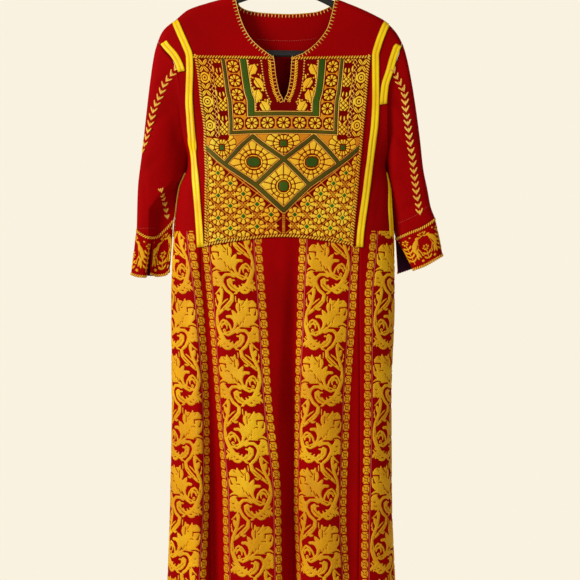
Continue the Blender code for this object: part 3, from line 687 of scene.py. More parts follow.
def fold_share(x, z):
    """How far a point lies inside the left sleeve's fold, from 0 to 1."""
    start, corner, foot = (np.array(p, float) for p in SLEEVE_FOLD)
    result = np.zeros(x.shape)
    for a, b, here in ((start, corner, z > corner[1]), (corner, foot, z <= corner[1])):
        line = (b - a) / np.linalg.norm(b - a)
        gap = (x - a[0]) * -line[1] + (z - a[1]) * line[0]
        result = np.where(here, ease(gap / SLEEVE_FOLD_WIDTH), result)
    return result


def sleeve_rows():
    """Row numbers of the armhole, from the underarm to the shoulder."""
    return fine_rows(0, UNDERARM_ROW)[::-1]


def sleeve_half(right, back, downs):
    """Points of half a sleeve, row by row, from the underarm seam out to the outline."""
    arm = armhole_points(right, back, sleeve_rows())
    p = shares_of(arm)[None, :, None]
    q = downs[:, None, None]
    outline, inseam, *wrists = SLEEVE_EDGES[right]
    wrist = wrists[back]
    across = along(inseam, downs)[:, None] * (1 - p) + along(outline, downs)[:, None] * p
    down = arm[None][..., [0, 2]] * (1 - q) + along(wrist, p[0, :, 0])[None] * q
    corner = (np.array(inseam[0]) * (1 - p) + np.array(outline[0]) * p) * (1 - q)
    corner = corner + (np.array(wrist[0]) * (1 - p) + np.array(wrist[-1]) * p) * q
    place = across + down - corner
    x, z = place[..., 0], place[..., 1]
    p, q = p[..., 0], q[..., 0]
    side = 1 if back else -1
    depth_column = 2 if back else 1
    depth = column(SLEEVE_DEPTHS, 0, depth_column, q) * fullness(p)
    if not back and not right:
        depth = depth * (1 - SLEEVE_FOLD_SHARE * fold_share(x, z) * ease((q - 0.05) / 0.25))
    creases = crease_depth(SLEEVE_CREASES, right, x, z, SLEEVE_CREASE_TAIL)
    depth = depth - creases * fullness(p) * ease(q / 0.2) * ease((1.02 - q) / 0.15)
    first = column(SLEEVE_DEPTHS, 0, depth_column, 0.0) * fullness(p) * side
    y = depth * side + (arm[None][..., 1] - first) * (1 - ease(q / 0.5))
    tuck = column(UNDERARM_TUCK, 0, 2 if right else 1, q) * (1 - p) ** 2
    return np.stack((x - tuck * (1 if right else -1), y + tuck * 1.15, z), axis=-1)


def sleeve_ring(right, downs):
    """A sleeve's points from the underarm seam over the front, the outline and the back."""
    front = sleeve_half(right, False, downs)
    back = sleeve_half(right, True, downs)
    front[:, 0, 1] -= INSEAM_GAP / 2
    back[:, 0, 1] += INSEAM_GAP / 2
    return np.concatenate((front, back[:, -2::-1]), axis=1)


def cuff_ring(right, downs):
    """A cuff's points, hung from the sleeve's last row; the left one starts and ends at its slit."""
    rows = sleeve_rows()
    half = len(rows)
    front_shares = shares_of(armhole_points(right, False, rows))
    back_shares = shares_of(armhole_points(right, True, rows))[-2::-1]
    top = sleeve_ring(right, np.array([1.0]))[0]
    slit = int(np.argmin(np.abs(rows - LEFT_SLIT_ROW)))
    if right:
        foot = along(RIGHT_FOOT, front_shares)
    else:
        split = front_shares[slit]
        inner = along(LEFT_FOOT_INNER, np.minimum(front_shares / split, 1.0))
        outer = along(LEFT_FOOT_OUTER, np.maximum((front_shares - split) / (1 - split), 0.0))
        foot = np.where((np.arange(half) <= slit)[:, None], inner, outer)
    foot = np.concatenate((foot, along(RIGHT_FOOT_BACK if right else LEFT_FOOT_BACK, back_shares)))
    foot = np.stack((foot[:, 0], top[:, 1], foot[:, 1]), axis=-1)
    if right:
        foot[:half, 1] -= RIGHT_FLARE[0] * (1 - front_shares)
        foot[half:, 1] += RIGHT_FLARE[1] * (1 - back_shares)
    drop = foot - top
    top = top + drop / np.linalg.norm(drop, axis=1, keepdims=True) * CUFF_GAP
    ring = top[None] + (foot - top)[None] * downs[:, None, None]
    if right:
        return ring
    closed = ring[:, :-1].copy()
    closed[:, 0, 1] = 0.0
    outer = closed[:, slit:].copy()
    inner = closed[:, :slit + 1].copy()
    outer[:, 0, 0] -= np.linspace(LEFT_SLIT_START, LEFT_SLIT_WIDTH, len(downs))
    outer[:, 0, 2] -= np.linspace(0.0, LEFT_SLIT_WIDTH - 1, len(downs))
    inner[:, -1, 0] += LEFT_SLIT_START
    return np.concatenate((outer, inner), axis=1)


SLEEVE_DOWNS = np.linspace(0, 1, 60)
CUFF_DOWNS = np.linspace(0, 1, 13)
SLEEVE_GRIDS = {}
CUFF_GRIDS = {}
for right, side in SIDES:
    turn = slice(None) if right else slice(None, None, -1)
    SLEEVE_GRIDS[side] = sleeve_ring(right, SLEEVE_DOWNS)[:, turn]
    CUFF_GRIDS[side] = cuff_ring(right, CUFF_DOWNS)[:, turn]
print("points in a sleeve:", SLEEVE_GRIDS["left"].shape[:2])

# %% [markdown]
# ## Small tools for materials
# Every finish is built from shader nodes: a base colour that varies a little, a bump that gives the weave
# or the twist of a thread, and the values of sheen and roughness set straight on the shader.

# %% Material helpers


class Finish:
    """A node material under construction."""

    def __init__(self, name, roughness):
        self.material = bpy.data.materials.new(name)
        self.material.use_nodes = True
        self.tree = self.material.node_tree
        self.shader = self.tree.nodes["Principled BSDF"]
        self.set("Roughness", roughness)

    def set(self, socket, value):
        self.shader.inputs[socket].default_value = value

    def add(self, kind, **settings):
        node = self.tree.nodes.new(kind)
        for key, value in settings.items():
            setattr(node, key, value)
        return node

    def link(self, output, target):
        self.tree.links.new(output, target)

    def object_place(self):
        return self.add("ShaderNodeTexCoord").outputs["Object"]

    def own_map(self):
        return self.add("ShaderNodeUVMap", uv_map="cloth_map").outputs["UV"]

    def noise(self, place, scale, detail):
        node = self.add("ShaderNodeTexNoise")
        node.inputs["Scale"].default_value = scale
        node.inputs["Detail"].default_value = detail
        self.link(place, node.inputs["Vector"])
        return node.outputs["Fac"]

    def waves(self, place, period, direction, distortion):
        """Ridges with a period in metres along one direction."""
        node = self.add("ShaderNodeTexWave", bands_direction=direction)
        node.inputs["Scale"].default_value = math.pi / 10 / period
        node.inputs["Distortion"].default_value = distortion
        node.inputs["Detail"].default_value = 1.0
        node.inputs["Detail Scale"].default_value = 2.0
        self.link(place, node.inputs["Vector"])
        return node.outputs["Fac"]

    def ramp(self, value, stops):
        node = self.add("ShaderNodeValToRGB")
        for i, (place, colour) in enumerate(stops):
            stop = node.color_ramp.elements[i] if i < 2 else node.color_ramp.elements.new(place)
            stop.position = place
            stop.color = colour
        self.link(value, node.inputs["Fac"])
        return node.outputs["Color"]

    def multiply(self, colour, shade):
        """A colour darkened by a second one."""
        node = self.add("ShaderNodeMix", data_type="RGBA", blend_type="MULTIPLY")
        node.inputs["Factor"].default_value = 1.0
        sockets = [s for s in node.inputs if s.type == "RGBA"]
        self.link(colour, sockets[0])
        self.link(shade, sockets[1])
        return [s for s in node.outputs if s.type == "RGBA"][0]

    def math(self, operation, a, b):
        node = self.add("ShaderNodeMath", operation=operation)
        for socket, item in zip(node.inputs, (a, b)):
            if isinstance(item, float):
                socket.default_value = item
            else:
                self.link(item, socket)
        return node.outputs["Value"]

    def bump(self, height, strength, distance):
        node = self.add("ShaderNodeBump")
        node.inputs["Strength"].default_value = strength
        node.inputs["Distance"].default_value = distance
        self.link(height, node.inputs["Height"])
        self.link(node.outputs["Normal"], self.shader.inputs["Normal"])

    def colour(self, output):
        self.link(output, self.shader.inputs["Base Color"])


print("material helper ready")

# %% [markdown]
# ## Crimson cotton
# The dress is a plain woven cotton of a deep crimson. Threads cross over and under about every
# millimetre, so two sets of ridges are multiplied for the bump, and a slow noise makes the dye a little
# deeper in places, as on cloth that has been washed and pressed. A soft sheen lifts the folds.

# %% Crimson cotton


def crimson_cotton(name, deep, bright):
    """A woven finish between two screen colours."""
    finish = Finish(name, 0.72)
    place = finish.object_place()
    slow = finish.noise(place, 7.0, 4.0)
    slub = finish.noise(place, 260.0, 3.0)
    tone = finish.ramp(slow, ((0.3, linear(*deep)), (0.7, linear(*bright))))
    darker = finish.ramp(slub, ((0.3, (0.92, 0.9, 0.9, 1)), (0.7, (1.03, 1.0, 1.0, 1))))
    finish.colour(finish.multiply(tone, darker))
    warp = finish.waves(place, 0.0011, "X", 0.6)
    weft = finish.waves(place, 0.0012, "Z", 0.6)
    weave = finish.math("MULTIPLY", warp, weft)
    height = finish.math("ADD", weave, finish.math("MULTIPLY", slub, 0.7))
    finish.bump(height, 0.35, 0.0004)
    finish.set("Sheen Weight", 0.08)
    finish.set("Sheen Roughness", 0.4)
    finish.set("Sheen Tint", linear(190, 0, 0))
    finish.set("Specular IOR Level", 0.03)
    return finish.material


COTTON = crimson_cotton("crimson_cotton_weave", (140, 0, 1), (156, 0, 3))
PANEL_GROUND = crimson_cotton("crimson_panel_ground", (104, 0, 0), (122, 2, 2))
LINING = crimson_cotton("dark_violet_lining", (44, 16, 34), (58, 24, 46))
print("cotton:", COTTON.name)

# %% [markdown]
# ## Embroidery thread
# The thread is a lustrous cotton. It lies in close parallel stitches, which show as fine ridges that
# slant across each shape and catch the light; the grooves between them are painted darker as shade. Its gold
# runs from a bright yellow to an orange, as thread from more than one skein does, and the olive green of the
# bands is a little duller.

# %% Embroidery threads
THREAD_PERIOD = 0.0016


def embroidery_thread(name, *colours):
    """A thread finish from a dark, a middle and a light screen colour."""
    dark, middle, light = (linear(*colour) for colour in colours)
    finish = Finish(name, 0.46)
    place = finish.own_map()
    slow = finish.noise(finish.object_place(), 9.0, 3.0)
    fine = finish.noise(finish.object_place(), 420.0, 2.0)
    tone = finish.ramp(slow, ((0.30, dark), (0.52, middle), (0.72, light)))
    twist = finish.waves(place, THREAD_PERIOD, "DIAGONAL", 0.9)
    relief = finish.math("ADD", finish.math("MULTIPLY", twist, 0.6), finish.math("MULTIPLY", fine, 0.4))
    # Painted shade: the colour is darkened in the grooves between the slanting stitches and in a fine noise
    shade = finish.ramp(relief, ((0.15, (0.62, 0.56, 0.5, 1)), (0.6, (1.0, 1.0, 1.0, 1))))
    finish.colour(finish.multiply(tone, shade))
    finish.bump(twist, 0.6, 0.0005)
    finish.set("Sheen Weight", 0.06)
    finish.set("Sheen Roughness", 0.4)
    finish.set("Sheen Tint", light)
    finish.set("Specular IOR Level", 0.12)
    return finish.material


GOLD = embroidery_thread("gold_thread", (216, 148, 8), (236, 172, 14), (250, 202, 24))
PANEL_GOLD = embroidery_thread("panel_gold_thread", (250, 182, 30), (255, 208, 46), (255, 228, 70))
ORANGE_GOLD = embroidery_thread("orange_gold_thread", (206, 120, 10), (226, 146, 16), (240, 168, 26))
GREEN = embroidery_thread("green_band_thread", (44, 74, 0), (58, 90, 2), (72, 104, 4))
OLIVE = embroidery_thread("olive_band_thread", (66, 62, 0), (84, 80, 0), (102, 98, 2))
LEAF_GREEN = embroidery_thread("leaf_green_thread", (20, 92, 24), (34, 116, 34), (60, 134, 44))
CREAM_GOLD = embroidery_thread("cream_gold_thread", (244, 184, 68), (255, 206, 90), (255, 224, 118))
ROPE = embroidery_thread("rope_thread", (242, 170, 40), (252, 192, 58), (255, 212, 88))
PINK = embroidery_thread("pink_thread", (196, 76, 70), (212, 96, 86), (222, 120, 104))
print("threads:", [m.name for m in (GOLD, ORANGE_GOLD, GREEN, LEAF_GREEN, CREAM_GOLD, PINK)])

# %% [markdown]
# ## Satin, plastic and steel
# Satin ribbon is smooth with very fine lines across it, so its highlights are long and soft, and shade is
# painted into its colour in bands across its width where it swells. The hanger is moulded black plastic with
# a faint grain, and its hook is bright wire with fine drawing lines.

# %% Satin, plastic and steel


def yellow_satin():
    finish = Finish("yellow_satin_ribbon", 0.34)
    place = finish.own_map()
    slow = finish.noise(finish.object_place(), 22.0, 2.0)
    tone = finish.ramp(slow, ((0.3, linear(244, 196, 0)), (0.7, linear(255, 226, 0))))
    # Painted shade: bands across the ribbon's width are darkened in its colour, standing in for the shade
    # where each half swells
    swell = finish.waves(place, 0.0074, "X", 0.4)
    painted_swell_shade = finish.ramp(swell, ((0.15, (0.72, 0.62, 0.5, 1)), (0.55, (1, 1, 1, 1))))
    finish.colour(finish.multiply(tone, painted_swell_shade))
    rib = finish.waves(place, 0.0009, "Y", 0.3)
    finish.bump(rib, 0.25, 0.0003)
    finish.set("Specular IOR Level", 0.2)
    return finish.material


def black_plastic():
    finish = Finish("black_hanger_plastic", 0.38)
    place = finish.object_place()
    slow = finish.noise(place, 60.0, 3.0)
    finish.colour(finish.ramp(slow, ((0.3, linear(14, 14, 15)), (0.7, linear(26, 26, 28)))))
    finish.bump(finish.noise(place, 1400.0, 2.0), 0.12, 0.0002)
    return finish.material


def hook_steel():
    finish = Finish("bright_hook_steel", 0.22)
    finish.set("Metallic", 1.0)
    place = finish.object_place()
    slow = finish.noise(place, 90.0, 4.0)
    finish.colour(finish.ramp(slow, ((0.35, linear(176, 178, 182)), (0.65, linear(214, 216, 220)))))
    finish.bump(finish.waves(place, 0.0006, "Z", 2.0), 0.06, 0.0002)
    return finish.material


SATIN = yellow_satin()
PLASTIC = black_plastic()
STEEL = hook_steel()
print("trim finishes:", [m.name for m in (SATIN, PLASTIC, STEEL)])

# %% [markdown]
# ## A sheet from a grid
# Cloth is made in mesh code: the grid's points become vertices, its cells become faces, and Solidify gives
# the wall its thickness, which is applied so that the finished piece is plain mesh. A map named
# cloth_map keeps real metres across and down the cloth for the stitches and satin lines to follow.

# %% Sheets in mesh code
PIECES = {}


def mesh_object(name, points, faces, finish, cloth_map):
    """A smooth mesh piece from points and a map in millimetres."""
    mesh = bpy.data.meshes.new(name)
    mesh.from_pydata((np.asarray(points) * MM).tolist(), [], faces)
    layer = mesh.uv_layers.new(name="cloth_map")
    corners = np.empty(len(mesh.loops), dtype=np.int32)
    mesh.loops.foreach_get("vertex_index", corners)
    layer.data.foreach_set("uv", (np.asarray(cloth_map) * MM)[corners].ravel())
    mesh.polygons.foreach_set("use_smooth", np.ones(len(mesh.polygons), dtype=bool))
    mesh.materials.append(finish)
    mesh.update()
    obj = bpy.data.objects.new(name, mesh)
    bpy.context.scene.collection.objects.link(obj)
    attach(obj, "root")
    return obj


def grid_faces(rows, columns):
    """Faces of a grid whose columns run to the right as seen from outside."""
    index = np.arange(rows * columns).reshape(rows, columns)
    return np.stack((index[:-1, :-1], index[1:, :-1], index[1:, 1:], index[:-1, 1:]), axis=-1).reshape(-1, 4)


def lengths_across(grid):
    steps = np.linalg.norm(np.diff(grid, axis=1), axis=-1)
    return np.concatenate((np.zeros((len(grid), 1)), np.cumsum(steps, axis=1)), axis=1)


def apply_all(obj):
    bpy.ops.object.select_all(action="DESELECT")
    obj.select_set(True)
    bpy.context.view_layer.objects.active = obj
    for modifier in list(obj.modifiers):
        bpy.ops.object.modifier_apply(modifier=modifier.name)


def weld(obj, distance):
    """Joins points that lie on each other, as at the centre of a front."""
    work = bmesh.new()
    work.from_mesh(obj.data)
    bmesh.ops.remove_doubles(work, verts=work.verts, dist=distance * MM)
    work.to_mesh(obj.data)
    work.free()


def thicken(obj, thickness):
    solid = obj.modifiers.new("cloth", "SOLIDIFY")
    solid.thickness = thickness * MM
    solid.offset = 0.0
    solid.use_even_offset = False
    apply_all(obj)


def flat_cut(grid):
    """Width and length of the flat cut of a grid in metres, and its area."""
    width = lengths_across(grid)[:, -1].max() * MM
    length = lengths_across(np.swapaxes(grid, 0, 1))[:, -1].max() * MM
    a = np.linalg.norm(np.cross(grid[1:, :-1] - grid[:-1, :-1], grid[:-1, 1:] - grid[:-1, :-1]), axis=-1)
    area = min(a.sum() * MM * MM, width * length)
    return (float(width), float(length)), float(area)


def cloth_sheet(name, grids, thickness, finish, node, rests_on=("hanger_frame",)):
    """A cloth piece from one grid, or from two halves that share their centre."""
    points, faces, maps = [], [], []
    first = 0
    for grid in grids:
        rows, columns = grid.shape[:2]
        points.append(grid.reshape(-1, 3))
        faces.append(grid_faces(rows, columns) + first)
        down = lengths_across(np.swapaxes(grid, 0, 1)).T
        maps.append(np.stack((lengths_across(grid), down), axis=-1).reshape(-1, 2))
        first += rows * columns
    faces = np.concatenate(faces).tolist()
    obj = mesh_object(name, np.concatenate(points), faces, finish, np.concatenate(maps))
    if len(grids) > 1:
        weld(obj, 0.03)
    thicken(obj, thickness)
    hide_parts(node)
    flats = [flat_cut(grid) for grid in grids]
    width = sum(flat[0][0] for flat in flats)
    length = max(flat[0][1] for flat in flats)
    area = min(sum(flat[1] for flat in flats), width * length)
    PIECES[name] = (obj, (width, length), area, rests_on)


def cotton_sheet(name, grids, node):
    cloth_sheet(name, grids, CLOTH, COTTON, node)


print("sheet tools ready")

# %% [markdown]
# ## The dress itself
# The front, back, side and sleeve sheets meet along their seams with a hair of space, as cut pieces do.
# Each one stands for the plain node of the same name.

# %% Sheets of the dress
left_angle, left_z, FRONT_ROWS, _ = centre_half(False)
right_angle, right_z, _, _ = centre_half(True)
front_grids = [raised(left_angle, left_z, False)[:, ::-1], raised(right_angle, right_z, False)]
cotton_sheet("front_cloth", front_grids, "centre_front")
back_grid = raised(*centre_back(), True)
cotton_sheet("back_cloth", [back_grid], "centre_back")
for right, side in SIDES:
    for back, face in FACES:
        grid = raised(*side_panel(right, back), back)
        cotton_sheet(f"side_{face}_cloth_{side}", [grid], f"side_{face}_{side}")
    cotton_sheet(f"sleeve_cloth_{side}", [SLEEVE_GRIDS[side]], f"sleeve_{side}")
    cotton_sheet(f"cuff_cloth_{side}", [CUFF_GRIDS[side]], f"cuff_{side}")
print("faces in the cloth:", sum(len(piece[0].data.polygons) for piece in PIECES.values()))

# %% [markdown]
# ## Satin ribbons over the seams
# A ribbon is stitched down along its middle, so each half swells a little between the stitch line and its
# edge. Its cross-section is a short list of shares and heights, and its path is the seam itself.

# %% Ribbons
RIBBON_WIDTH = 13.0
RIBBON_SECTION = ((-1, 0.0), (-0.86, 0.55), (-0.5, 0.75), (-0.12, 0.45), (0, 0.05),
                  (0.12, 0.45), (0.5, 0.75), (0.86, 0.55), (1, 0.0))
SATIN_CLOTH = 0.5
ARMHOLE_OFFSET = 1.2
ARMHOLE_ROW_STEP = 0.4
SEAM_RIBBON_LIFT = 2.1
ARMHOLE_RIBBON_LIFT = 1.7
RIBBON_END_ROW = 19
ARMHOLE_END_ROWS = {"left": 7.2, "right": 10.2}


def ribbon_grid(angle, z, lift, shift):
    """A padded ribbon along a line of angles and heights, moved sideways by a shift."""
    step = np.linalg.norm(body_point(angle + 0.01, z) - body_point(angle - 0.01, z), axis=-1) / 0.02
    run = np.stack((np.gradient(angle) * step, np.gradient(z)), axis=-1)
    run = run / np.linalg.norm(run, axis=-1, keepdims=True)
    across = np.stack((-run[:, 1], run[:, 0]), axis=-1)
    columns = []
    for share, swell in RIBBON_SECTION:
        side = across * (share * RIBBON_WIDTH / 2 + shift)
        a = angle + side[:, 0] / step
        h = z + side[:, 1]
        columns.append(body_point(a, h) + body_normal(a, h) * (lift + swell))
    return np.stack(columns, axis=1)


def lay_satin(kind, where, angle, z, lift, shift=0.0):
    grid = ribbon_grid(angle, z, lift, shift)
    cloth_sheet(f"{kind}_satin_{where}", [grid], SATIN_CLOTH, SATIN, f"{kind}_ribbon_{where}")


def dress_ribbons():
    for right, side in SIDES:
        for back, face in FACES:
            where = f"{face}_{side}"
            rows = fine_rows(2, RIBBON_END_ROW)
            lay_satin("seam", where, seam_angle(rows, 1, right, back), row_height(rows, 1, right),
                      SEAM_RIBBON_LIFT)
            rows = np.arange(2, ARMHOLE_END_ROWS[side], ARMHOLE_ROW_STEP)
            shift = (RIBBON_WIDTH / 2 + ARMHOLE_OFFSET) * (1 if right == back else -1)
            lay_satin("armhole", where, seam_angle(rows, 0, right, back), row_height(rows, 0, right),
                      ARMHOLE_RIBBON_LIFT, shift)
        rows = fine_rows(UNDERARM_ROW + 1, RIBBON_END_ROW)
        lay_satin("side", side, side_seam(rows, right), row_height(rows, 0, right) - 2, SEAM_RIBBON_LIFT)


dress_ribbons()
print("ribbons made:", sum("satin" in name for name in PIECES))

# %% [markdown]
# ## The chest panel's cloth
# The panel is a separate piece sewn over the front. It follows the same rows as the front but stops at its
# own side edges, and it stands a little off the cloth below, as a second layer does.

# %% Panel cloth


def panel_half(right):
    """The angles and heights of one half of the chest panel, centre first."""
    angle, z, rows, columns = centre_half(right)
    keep = (rows >= PANEL_TOP_ROW) & (rows <= PANEL_FOOT_ROW)
    return angle[keep][:, :columns], z[keep][:, :columns]


panel_grids = []
for right in (False, True):
    angle, z = panel_half(right)
    grid = raised(angle, z, False, PANEL_LIFT)
    panel_grids.append(grid if right else grid[:, ::-1])
cloth_sheet("chest_panel_cloth", panel_grids, PANEL_CLOTH, PANEL_GROUND, "chest_panel",
            ("front_cloth",))
top_width = sum(float(np.ptp(grid[0, :, 0])) for grid in panel_grids)
print("panel width at its top in millimetres:", round(top_width))

# %% [markdown]
# ## Shapes of thread
# Embroidery of this kind is drawn with a few shapes: leaves, stems, rings, petals, squares. Here each is a
# distance field, a number at each point of a fine grid that is above zero inside the shape and tells how
# deep. Shapes are joined by taking the larger number and cut by taking the smaller. The part above zero
# is then cut out of the grid as a raised mesh whose edges fall along the true outline and whose middle
# swells like laid thread.

# %% Distance fields for thread shapes

# The width across a slanting line, as a share of its width straight across
DIAGONAL = 0.7071


def stroke(x, y, points, widths):
    """A tapered line: above zero within a half width that changes along it."""
    best = np.full(x.shape, -1e3)
    widths = np.interp(np.linspace(0, 1, len(points)), np.linspace(0, 1, len(widths)), widths)
    for (x0, y0), (x1, y1), w0, w1 in zip(points[:-1], points[1:], widths[:-1], widths[1:]):
        run = (x1 - x0, y1 - y0)
        share = np.clip(((x - x0) * run[0] + (y - y0) * run[1]) / (run[0] ** 2 + run[1] ** 2 + 1e-9), 0, 1)
        gap = np.hypot(x - x0 - run[0] * share, y - y0 - run[1] * share)
        best = np.maximum(best, w0 + (w1 - w0) * share - gap)
    return best


def bent(start, middle, end, count=9):
    """Points of a curve from start to end, pulled towards a middle point."""
    t = np.linspace(0, 1, count)[:, None]
    start, middle, end = (np.array(p, float) for p in (start, middle, end))
    return (1 - t) ** 2 * start + 2 * t * (1 - t) * middle + t ** 2 * end


def leaf(x, y, start, middle, end, width):
    """A pointed leaf along a bent line."""
    t = np.linspace(0, 1, 9)
    return stroke(x, y, bent(start, middle, end), width * np.sin(math.pi * (0.04 + 0.92 * t)) ** 0.8)


def disc(x, y, cx, cy, radius):
    return radius - np.hypot(x - cx, y - cy)


def ring(x, y, cx, cy, radius, half_width):
    return half_width - np.abs(np.hypot(x - cx, y - cy) - radius)


def petals(x, y, cx, cy, count, inner, outer, half_width):
    """Petals that stand round a centre."""
    angle = np.arctan2(y - cy, x - cx)
    step = 2 * math.pi / count
    folded = (angle + step / 2) % step - step / 2
    far = np.hypot(x - cx, y - cy)
    along_petal = far * np.cos(folded)
    aside = np.abs(far * np.sin(folded))
    t = np.clip((along_petal - inner) / (outer - inner), 0, 1)
    width = half_width * np.sin(math.pi * (0.12 + 0.80 * t)) ** 0.6
    ends = np.minimum(along_petal - inner, outer - along_petal)
    return np.minimum(width - aside, ends + 0.4)


def wedges(x, y, cx, cy, count, inner, outer, gap, turn=0.0):
    """Full petals that touch but for a bare line between them."""
    angle = np.arctan2(y - cy, x - cx) - turn
    step = 2 * math.pi / count
    folded = np.abs((angle + step / 2) % step - step / 2)
    far = np.hypot(x - cx, y - cy)
    aside = far * np.sin(step / 2 - folded) - gap
    rounded = outer - far - 1.1 * (folded / (step / 2)) ** 2
    return np.minimum(np.minimum(aside, far - inner), rounded)


def square(x, y, cx, cy, half):
    return half - np.maximum(np.abs(x - cx), np.abs(y - cy))


def diamond(x, y, half):
    return (half - (np.abs(x) + np.abs(y))) * DIAGONAL


def any_of(*fields):
    result = fields[0]
    for field in fields[1:]:
        result = np.maximum(result, field)
    return result


def without(field, *cuts):
    for cut in cuts:
        field = np.minimum(field, -cut)
    return field


def octagon(x, y, cx, cy, half_x, half_y):
    dx, dy = np.abs(x - cx), np.abs(y - cy)
    corners = ((half_x + half_y) * 0.76 - dx - dy) * DIAGONAL
    return np.minimum(np.minimum(half_x - dx, half_y - dy), corners)


print("thread shapes ready")

# %% [markdown]
# ## Cutting a shape out of a grid
# Each cell of the grid is two triangles. A triangle with one or two corners inside the shape is cut where
# the field passes zero. Every new corner knows its row and column as fractions, so its place on the cloth
# is read from the grid of points, and it is lifted along the cloth's own normal.

# %% Raised thread meshes


def cut_out(field):
    """Rows and columns of corners, their depth inside the shape, and triangles."""
    rows, columns = field.shape
    index = np.arange(rows * columns).reshape(rows, columns)
    a, b, c, d = index[:-1, :-1], index[:-1, 1:], index[1:, 1:], index[1:, :-1]
    tris = np.concatenate([np.stack(t, axis=-1).reshape(-1, 3) for t in ((a, d, c), (a, c, b))])
    flat = field.ravel()
    inside = flat[tris] > 0
    count = inside.sum(axis=1)
    faces = [tris[count == 3]]
    keys = []

    def edge(i, j):
        low, high = np.minimum(i, j), np.maximum(i, j)
        keys.append(low.astype(np.int64) * flat.size + high)
        return -(low.astype(np.int64) * flat.size + high) - 1

    one = tris[count == 1]
    turn = np.argmax(flat[one] > 0, axis=1)
    p, q, r = (one[np.arange(len(one)), (turn + k) % 3] for k in range(3))
    faces.append(np.stack((p, edge(p, q), edge(p, r)), axis=-1))
    two = tris[count == 2]
    turn = np.argmin(flat[two] > 0, axis=1)
    p, q, r = (two[np.arange(len(two)), (turn + k) % 3] for k in range(3))
    pq, pr = edge(p, q), edge(p, r)
    faces.append(np.stack((pq, q, r), axis=-1))
    faces.append(np.stack((pq, r, pr), axis=-1))
    faces = np.concatenate(faces)
    cut = np.unique(np.concatenate(keys))
    whole = np.unique(faces[faces >= 0])
    low, high = cut // flat.size, cut % flat.size
    share = flat[low] / (flat[low] - flat[high])
    row = np.concatenate((whole // columns, (low // columns) * (1 - share) + (high // columns) * share))
    col = np.concatenate((whole % columns, (low % columns) * (1 - share) + (high % columns) * share))
    depth = np.concatenate((flat[whole], np.zeros(len(cut))))
    found = np.where(faces >= 0, np.searchsorted(whole, np.maximum(faces, 0)), 0)
    found = np.where(faces < 0, len(whole) + np.searchsorted(cut, np.maximum(-faces - 1, 0)), found)
    return row, col, depth, found


def read_grid(grid, row, col):
    """Values of a grid at rows and columns with fractions."""
    r = np.clip(np.floor(row).astype(int), 0, grid.shape[0] - 2)
    c = np.clip(np.floor(col).astype(int), 0, grid.shape[1] - 2)
    fr, fc = (row - r)[:, None], (col - c)[:, None]
    top = grid[r, c] * (1 - fc) + grid[r, c + 1] * fc
    low = grid[r + 1, c] * (1 - fc) + grid[r + 1, c + 1] * fc
    return top * (1 - fr) + low * fr


def grid_normals(grid):
    down = np.gradient(grid, axis=0)
    across = np.gradient(grid, axis=1)
    normal = np.cross(down, across)
    return normal / np.maximum(np.linalg.norm(normal, axis=-1, keepdims=True), 1e-9)


def keep_thread(obj, kind, count):
    """Prints the name and size of a finished thread piece."""
    print(obj.name, f"{kind}:", count)


def thread_mesh(name, field, places, normals, finish, scale, height, edge_width):
    """A raised mesh of a shape whose field is in millimetres, on a grid of places."""
    row, col, depth, faces = cut_out(field)
    swell = np.clip(depth / edge_width, 0, 1)
    lift = height * np.sqrt(1 - (1 - swell) ** 2)
    points = read_grid(places, row, col) + read_grid(normals, row, col) * lift[:, None]
    cloth_map = np.stack((col, row), axis=-1) * scale
    obj = mesh_object(name, points, faces.tolist(), finish, cloth_map)
    keep_thread(obj, "triangles", len(faces))


print("thread mesh tool ready")

# %% [markdown]
# ## Charting the chest panel
# The panel's pattern is charted on a net of units, each as wide as one pixel of the photograph, 1.9 mm.
# Across, 80 units reach from the centre line to either side edge, so that the columns follow the panel as
# it narrows. Down, a unit row is the height at which the camera sees it. Both halves mirror each other.

# %% The panel's net of units
PANEL_HALF = 80.0
NET_STEP = 0.6
PANEL_FACE = PANEL_LIFT + PANEL_CLOTH / 2

# Threads start this far inside the cloth's face
PANEL_SINK = 0.1
CLOTH_SINK = 0.05

# The rows of the chart bow up by this much at the centre, and not at all this far from it
BOW = 2.0
BOW_WIDTH = 55.0
SLIT_TIP = -316
NO_SLIT = 99.0


def seen_from_camera(points):
    """Where the camera sees points in millimetres, in pixels across and down."""
    scale = CAMERA_DISTANCE / MM / (CAMERA_DISTANCE / MM + points[..., 1])
    across = HALF_FRAME + (points[..., 0] - CAMERA_AIM[0] / MM) * scale / UNIT
    down = HALF_FRAME - (points[..., 2] - CAMERA_AIM[1] / MM) * scale / UNIT
    return across, down


def panel_net():
    """Places, normals, and chart units of a fine net over the panel."""
    halves = []
    for right in (False, True):
        coarse = np.linspace(PANEL_TOP_ROW, PANEL_FOOT_ROW, 600)
        heights = row_height(coarse, 1, right)
        count = int(abs(heights[-1] - heights[0]) / UNIT / NET_STEP)
        rows = np.interp(np.linspace(heights[0], heights[-1], count), heights[::-1], coarse[::-1])
        shares = np.linspace(0, 1, int(PANEL_HALF / NET_STEP))
        t = panel_edge_share(rows, right) * shares
        angle, z = between(rows, (2, 1), right, False, (0.0, SEAM_GAP), t, bowed=True)
        halves.append((angle, z, np.broadcast_to(shares * PANEL_HALF, angle.shape)))
    count = min(len(half[0]) for half in halves)
    left, right = ([item[:count] for item in half] for half in halves)
    angle = np.concatenate((left[0][:, :0:-1], right[0]), axis=1)
    z = np.concatenate((left[1][:, :0:-1], right[1]), axis=1)
    units = np.concatenate((-left[2][:, :0:-1], right[2]), axis=1)
    normals = body_normal(angle, z)
    places = body_point(angle, z) + normals * (PANEL_FACE - PANEL_SINK)
    return places, normals, units, seen_from_camera(places)[1]


